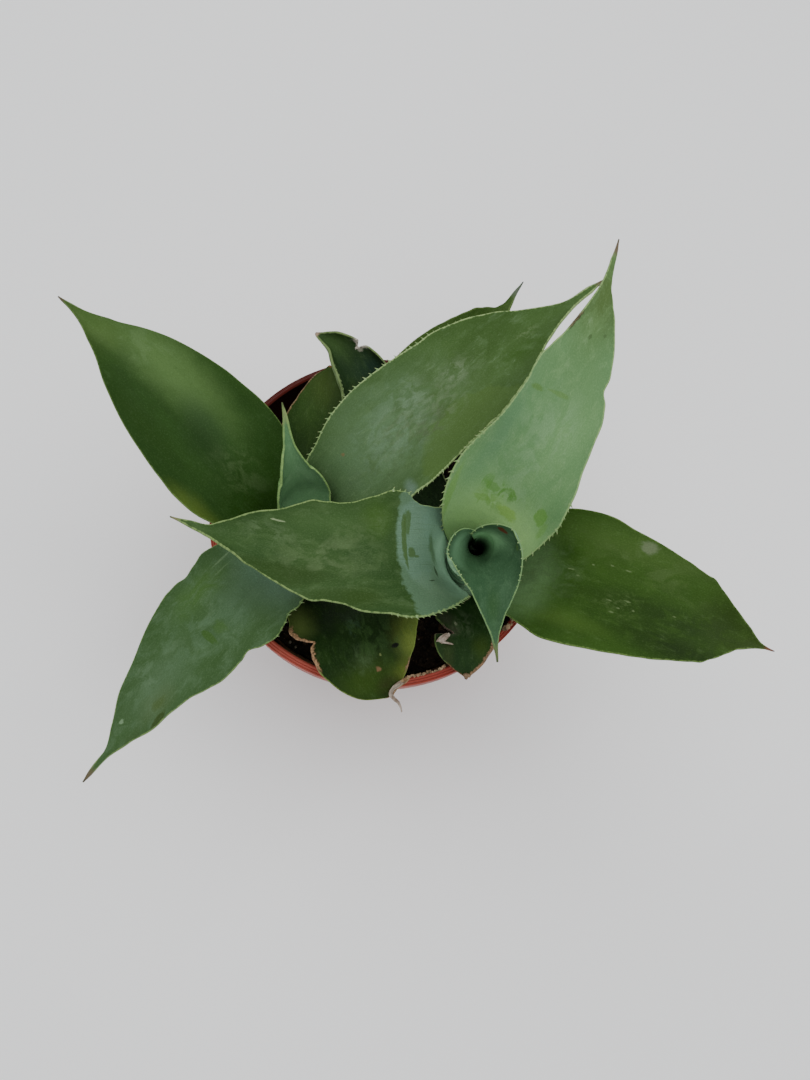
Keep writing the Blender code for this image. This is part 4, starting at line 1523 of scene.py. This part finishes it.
# %% Front leaf of the offset
make_blade(
    "offset_leaf_front",
    ends=dict(blunt=6),
    margin=Margin(
        9, wave=0.4, teeth=(6, 16), tooth=0.8,
        right=[(34, 0), (40, 1.9), (44, 0.7), (47, -1.9), (49.4, -5.0), (51.2, -2.6),
               (53, -1.7), (56, -0.4), (60, 0.6), (65, 0)],
        left=[(50, 0), (55, 0.8), (60, 0.5), (65, 0), (70, -1.3), (75, -0.6), (79, 0)]),
    skin=dict(
        # painted shade: the nearly black ground of this leaf
        dark=(10, 28, 3), mid=(18, 40, 6), light=(36, 62, 16), under=(54, 76, 40),
        rim=(110, 130, 60), needle=(90, 70, 44), needle_length=0.8,
        # painted light: the first three washes are the yellow-green of light falling through
        # the blade
        marks=[wash((54, 25), (30, 9), (112, 132, 62), 0.85),
               wash((64, 19), (22, 12), (110, 126, 52), 0.8),
               wash((75, 10), (10, 9), (96, 108, 38), 0.8),
               wash((70, -5), (14, 22), (52, 76, 14)),
               wash((36, -22), (14, 11), (84, 100, 50), 0.85),
               wash((76, 2), (6, 8), (44, 44, 14)),
               worn((62, -4), (9, 8), (76, 98, 66), 0.28, 34),
               worn((47, -2), (6, 5), (74, 102, 82), 0.25, 40),
               wash((62, -3), (7, 6), (56, 76, 42), 0.5),
               worn((54, 4), (20, 16), (50, 76, 36), 0.5, 20),
               Mark((62, 11), (1.1, 1.7), (8, 10, 3), 1.0, 0.25, 0.1, 40, bend=0.5),
               Mark((68, 1), (1.6, 1.4), (124, 92, 66), 0.8, 0.6, 0.3, 50),
               Mark((63, 4), (0.8, 0.6), (112, 122, 74), 0.7, 0.4, 0.4, 60)],
        corks=[CorkAndShadeBand(RIGHT, 38, 59, 1.5, (176, 138, 102)),
               CorkAndShadeBand(LEFT, 70.5, 73.5, 1.5, (150, 122, 92)), CorkAndShadeBand(LEFT, 77.5, 80, 1.1)]))

# %% [markdown]
# The lower left leaf is the wavy one: its left edge swells and dips in turn. Bloom greys
# its foot, which is also painted paler as painted light against the shade of the main
# head's left leaf, and dark green patches show where it was touched.

# %% Lower left leaf
make_blade(
    "offset_leaf_lower_left",
    margin=Margin(
        10, wave=0.3, teeth=(10, 60), tooth=1.5, gap=3.0, bare=[(RIGHT, 0, 200)],
        right=[(44, 0), (50, -1.6), (55, -2.5), (60, -0.8), (66, 0.1), (90, 0), (103, 0.9),
               (115, 0), (125, -1.6), (136, 0)],
        left=[(20, 0), (30, 3.8), (35, 3.0), (40, 0.2), (45, 1.2), (50, 2.0), (56, 0.6),
              (61, -2.2), (66, -0.4), (71, 0.5), (76, 0.9), (82, 0), (89, -1.3),
              (97, -0.9), (108, 0.6), (117, -0.4), (126, -1.6), (136, 0)]),
    skin=dict(
        dark=(50, 77, 38), mid=(58, 85, 48), light=(78, 103, 74), under=(66, 92, 56),
        rim=(112, 138, 80), rim_width=0.3, needle=(92, 84, 62), needle_length=7, mottle=0.5,
        # the first wash is bloom and also painted light, against the shade of the main head's
        # left leaf
        marks=[wash((28, 2), (22, 30), (96, 128, 104), 0.9),
               wash((48, 4), (24, 12), (64, 90, 62), 0.65),
               wash((54, -12), (22, 8), (66, 98, 42), 0.6),
               wash((120, 6), (18, 6), (54, 76, 38), 0.8),
               wash((98, 4), (12, 7), (72, 86, 46), 0.6),
               wash((92, 0), (28, 12), (76, 100, 72), 0.55),
               worn((62, 0), (34, 20), (84, 110, 84), 0.3, 9),
               worn((92, -6), (20, 9), (92, 116, 88), 0.4, 16),
               Mark((66.5, 3.5), (1.8, 4.6), (52, 82, 30), 0.85, 0.35, 0.3, 30, bend=0.6),
               Mark((61, 4), (4, 4), (58, 88, 36), 0.6, 0.7, 0.5, 26),
               Mark((102.5, 8.4), (4.8, 1.7), (50, 68, 28), 0.9, 0.35, 0.3, 34, bend=0.6),
               Mark((98, 4.5), (5, 2.2), (64, 84, 40), 0.6, 0.6, 0.4, 30),
               Mark((112, -3), (1.3, 1.0), (112, 138, 104), 0.8, 0.5, 0.3, 60),
               Mark((40, -15), (7, 0.5), (108, 132, 96), 0.5, 0.6, 0.5, 60),
               Mark((43, -12), (6, 0.35), (104, 128, 92), 0.4, 0.6, 0.5, 60)]))

# %% [markdown]
# The upper left leaf is dark, smooth and glossy. Long washes paint a highlight band along
# one side of its channel and painted shade along the other, and the tip half is painted
# lighter as a painted highlight.

# %% Upper left leaf
make_blade(
    "offset_leaf_upper_left",
    margin=Margin(
        11, wave=0.3, teeth=(8, 42), tooth=0.7,
        left=[(12, 0), (25, 2.5), (35, 2.6), (45, 1.8), (55, 1.0), (70, 0.5), (100, 0.4),
              (115, 0)],
        right=[(108, 0), (118, -0.5), (132, -0.4), (140, 0)]),
    skin=dict(
        dark=(28, 54, 10), mid=(34, 62, 16), light=(48, 76, 34), under=(54, 80, 44),
        # tip_tone is a painted highlight on the tip half
        tip_tone=(60, 84, 32), gloss=0.48, rim=(92, 116, 60), rim_width=0.3, mottle=0.2,
        wax=0.1,
        needle=(84, 78, 56), needle_length=4,
        # painted highlight: the long light washes on the upper half; painted shade: the dark
        # washes along the lower half of the channel
        marks=[wash((92, -9), (62, 17), (78, 106, 56), 0.95),
               wash((122, 0), (20, 8), (72, 98, 46), 0.8),
               wash((92, -27), (60, 8), (46, 74, 22), 0.6),
               wash((60, -3), (24, 9), (34, 58, 28), 0.6),
               wash((34, 28), (22, 9), (88, 108, 38), 0.6),
               wash((80, 17), (34, 7), (28, 54, 6), 0.7),
               wash((54, 4), (22, 10), (26, 50, 16), 0.6),
               worn((36, 0), (18, 16), (74, 94, 58), 0.35, 16),
               worn((104, -8), (26, 10), (92, 118, 74), 0.35, 12)]))

# %% [markdown]
# The broad leaf runs up behind the pale one. Its wax is worn into countless small bits, so
# worn patches of several grains overlap on it.

# %% Broad leaf of the offset
make_blade(
    "offset_leaf_broad",
    margin=Margin(
        12, wave=0.3, teeth=(8, 124), tooth=1.3, gap=2.6, bare=[(RIGHT, 62, 200)],
        left=[(18, 0), (26, -1.5), (40, -0.5), (60, 0.2), (82, 0.6), (91, 1.7), (101, 1.0),
              (112, -0.4), (121, -1.5), (143, -1.2), (157, 0)],
        right=[(38, 0), (45, -0.8), (52, 0.4), (72, 0), (80, 0.8), (90, 2.8), (100, 4.0),
               (110, 4.8), (117, 3.4), (124, 1.9), (132, 0.8), (142, 0)]),
    skin=dict(
        dark=(54, 80, 34), mid=(66, 94, 46), light=(84, 110, 70), under=(66, 90, 56),
        rim=(148, 172, 112), rim_width=0.5, needle=(92, 84, 62), wax=0.35, mottle=0.45,
        marks=[wash((40, 4), (62, 34), (88, 116, 82), 0.8),
               wash((116, -8), (22, 7), (46, 76, 16), 0.8),
               wash((24, -1), (10, 7), (72, 94, 66), 0.4),
               wash((80, 0), (26, 22), (68, 92, 50), 0.6),
               worn((56, -2), (34, 24), (60, 82, 42), 0.5, 13),
               worn((58, 4), (40, 26), (94, 118, 90), 0.2, 9),
               Mark((76, -24), (25, 20), (72, 98, 44), 0.55, 0.12, 0.25, 12, bend=0.25),
               worn((70, 2), (34, 18), (104, 120, 92), 0.35, 30),
               worn((52, 3), (26, 24), (108, 134, 110), 0.3, 18),
               worn((66, 10), (12, 12), (112, 138, 112), 0.28, 30),
               worn((87, 4), (9, 7), (118, 134, 106), 0.45, 26),
               worn((66, -6), (12, 8), (78, 88, 66), 0.5, 24),
               wash((44, -22), (4, 6), (112, 136, 124), 0.6),
               Mark((30, 10), (1.1, 1.0), (140, 84, 56), 0.4, 0.6, 0.4, 60),
               worn((118, -2), (8, 3), (112, 130, 92), 0.35, 50)]))

# %% [markdown]
# The offset's own spear is a small open channel with a long needle. It is young, so it
# has no marks, only its mixed greens.

# %% Spear of the offset
make_blade(
    "offset_leaf_spear",
    ends=dict(needle=(0.02, 0.0075)),
    margin=Margin(
        13, wave=0.2, teeth=(8, 32), tooth=0.8, gap=2.0, thin=0.8,
        left=[(12, 0), (15, 3.6), (20, 3.0), (25, 2.6), (30, 2.4), (35, 1.4), (40, 0)],
        right=[(6, -0.8), (10, -1.7), (15, -2.3), (20, -2.5), (25, -2.6), (30, -1.9),
               (35, -1.6), (40, -1.3), (45, -1.2), (52, 0)]),
    skin=dict(
        dark=(84, 122, 82), mid=(94, 132, 90), light=(106, 142, 104), under=(92, 124, 72),
        rim=(128, 160, 92), rim_width=0.5, needle=(122, 140, 88), needle_length=9,
        streak=0.08))

# %% [markdown]
# ## Dry ends
#
# Old blades die back from their ends. What is left is a thin, curled, papery strip
# or a corky knob. A strip is a narrow grid bent along a given route with
# a twist, given a thickness and rounded off; a knob is a few crumbs grown together.

# %% Papery strips and knobs
def dry_strip(name, route, skin):
    """A papery strip along a route of (x, y, z, half width, twist in degrees), in mm."""
    deselect_all()
    bpy.ops.mesh.primitive_grid_add(x_subdivisions=5, y_subdivisions=26, size=1)
    strip = bpy.context.object
    strip.name = name
    for vertex in strip.data.vertices:
        u, v = vertex.co.y + 0.5, 2 * vertex.co.x
        x, y, z, half_width, twist = along(route, u)
        ahead = Vector(along(route, u + 0.02)[:3]) - Vector(along(route, u - 0.02)[:3])
        tangent = ahead.normalized()
        side = tangent.cross(Vector((0, 0, 1))).normalized()
        side = Matrix.Rotation(math.radians(twist), 3, tangent) @ side
        out = side.cross(tangent)
        curl = 0.35 * half_width * v * v
        point = Vector((x, y, z)) + side * half_width * v + out * curl
        point += 0.18 * noise.noise_vector(point * 0.9)
        vertex.co = point * MM
    thick = strip.modifiers.new("Thick", "SOLIDIFY")
    thick.thickness = 0.35 * MM
    thick.offset = 0
    soft = strip.modifiers.new("Soften", "SUBSURF")
    soft.levels = soft.render_levels = 1
    apply_modifiers(strip)
    smooth(strip)
    adopt(strip, skin, "leaf_old")


dry_paper = crumb_skin("dry_paper", (96, 78, 62), (178, 164, 150))
dry_tan = crumb_skin("dry_tan", (110, 84, 58), (160, 134, 102))
dry_brown = crumb_skin("dry_brown", (76, 58, 42), (128, 106, 84))
dry_strip("front_blade_dry_tail", [
    (9.5, -72.6, 133.6, 0.6, 20), (6.8, -74.6, 134.4, 1.3, 35), (4.6, -76.4, 134.0, 1.3, 60),
    (3.8, -78.3, 132.6, 1.0, 30), (5.0, -79.9, 131.2, 0.8, 0), (6.6, -81.2, 130.0, 0.7, -25),
    (7.7, -83.0, 128.6, 0.6, -40), (8.4, -85.0, 127.2, 0.35, -50)], dry_paper)
dry_strip("front_blade_dry_fold", [
    (11.0, -71.6, 133.0, 0.6, 10), (9.0, -73.2, 134.0, 1.2, 20), (7.0, -74.8, 134.2, 1.4, 45),
    (5.4, -76.6, 133.6, 1.3, 70), (4.8, -78.2, 132.6, 0.8, 80)], dry_tan)
dry_strip("small_blade_torn_flap", [
    (22.8, -57.8, 131.4, 0.6, 10), (23.4, -56.5, 133.0, 1.3, 30), (24.5, -55.4, 134.0, 1.7, 45),
    (25.8, -54.8, 134.2, 1.5, 30), (27.0, -54.2, 133.6, 0.9, 10), (27.8, -53.5, 132.8, 0.4, 0)],
    dry_paper)
dry_strip("small_blade_torn_edge", [
    (22.8, -57.4, 131.8, 0.5, 0), (25.0, -57.0, 132.6, 0.5, 20), (27.4, -57.4, 132.8, 0.4, 10),
    (29.4, -57.9, 132.5, 0.15, 0)], dry_paper)
knob_places = [(Vector(place) * MM, Matrix.Rotation(turn, 3, "Z"), size * MM)
               for place, turn, size in (((34.6, -70.2, 128.8), 0.3, 2.2),
                                         ((35.9, -70.3, 128.8), 1.4, 1.8),
                                         ((35.0, -71.1, 128.2), 2.2, 1.4))]
knob = gather_copies("small_blade_knob", *shaped_bit("crumb"), knob_places)
adopt(knob, dry_brown, "leaf_old")
print("dry ends in place")

# %% [markdown]
# Where a pot is filled in a hurry, soil sticks to its rim and dries there pale. Stretches
# of the front and the right of the rim carry such crumbs, copied from the same bit.

# %% Crumbs on the rim
draw = random.Random(11)
rim_places = []
for first, last, count, inset, large in ((-88, -68, 130, 3.7, 1.0), (-112, -88, 50, 3.9, 1.1),
                                         (-44, -26, 26, 2.4, 2.0)):
    for _ in range(count):
        turn = math.radians(draw.uniform(first, last))
        out = RIM_RADIUS - draw.uniform(inset - 0.9, inset + 0.6) * MM
        size = draw.uniform(0.5, large) * MM
        place = Vector((out * math.cos(turn), out * math.sin(turn),
                        RIM_HEIGHT - (0.6 if inset > 3 else 0.1) * MM))
        rim_places.append((place, Matrix.Rotation(draw.uniform(0, 6), 3, "Z"), size))
rim_crumbs = gather_copies("rim_crumbs", *shaped_bit("crumb"), rim_places)
adopt(rim_crumbs, crumb_skin("rim_dirt", (84, 66, 48), (188, 160, 128)), "potting_soil")
print("rim crumbs:", len(rim_places))
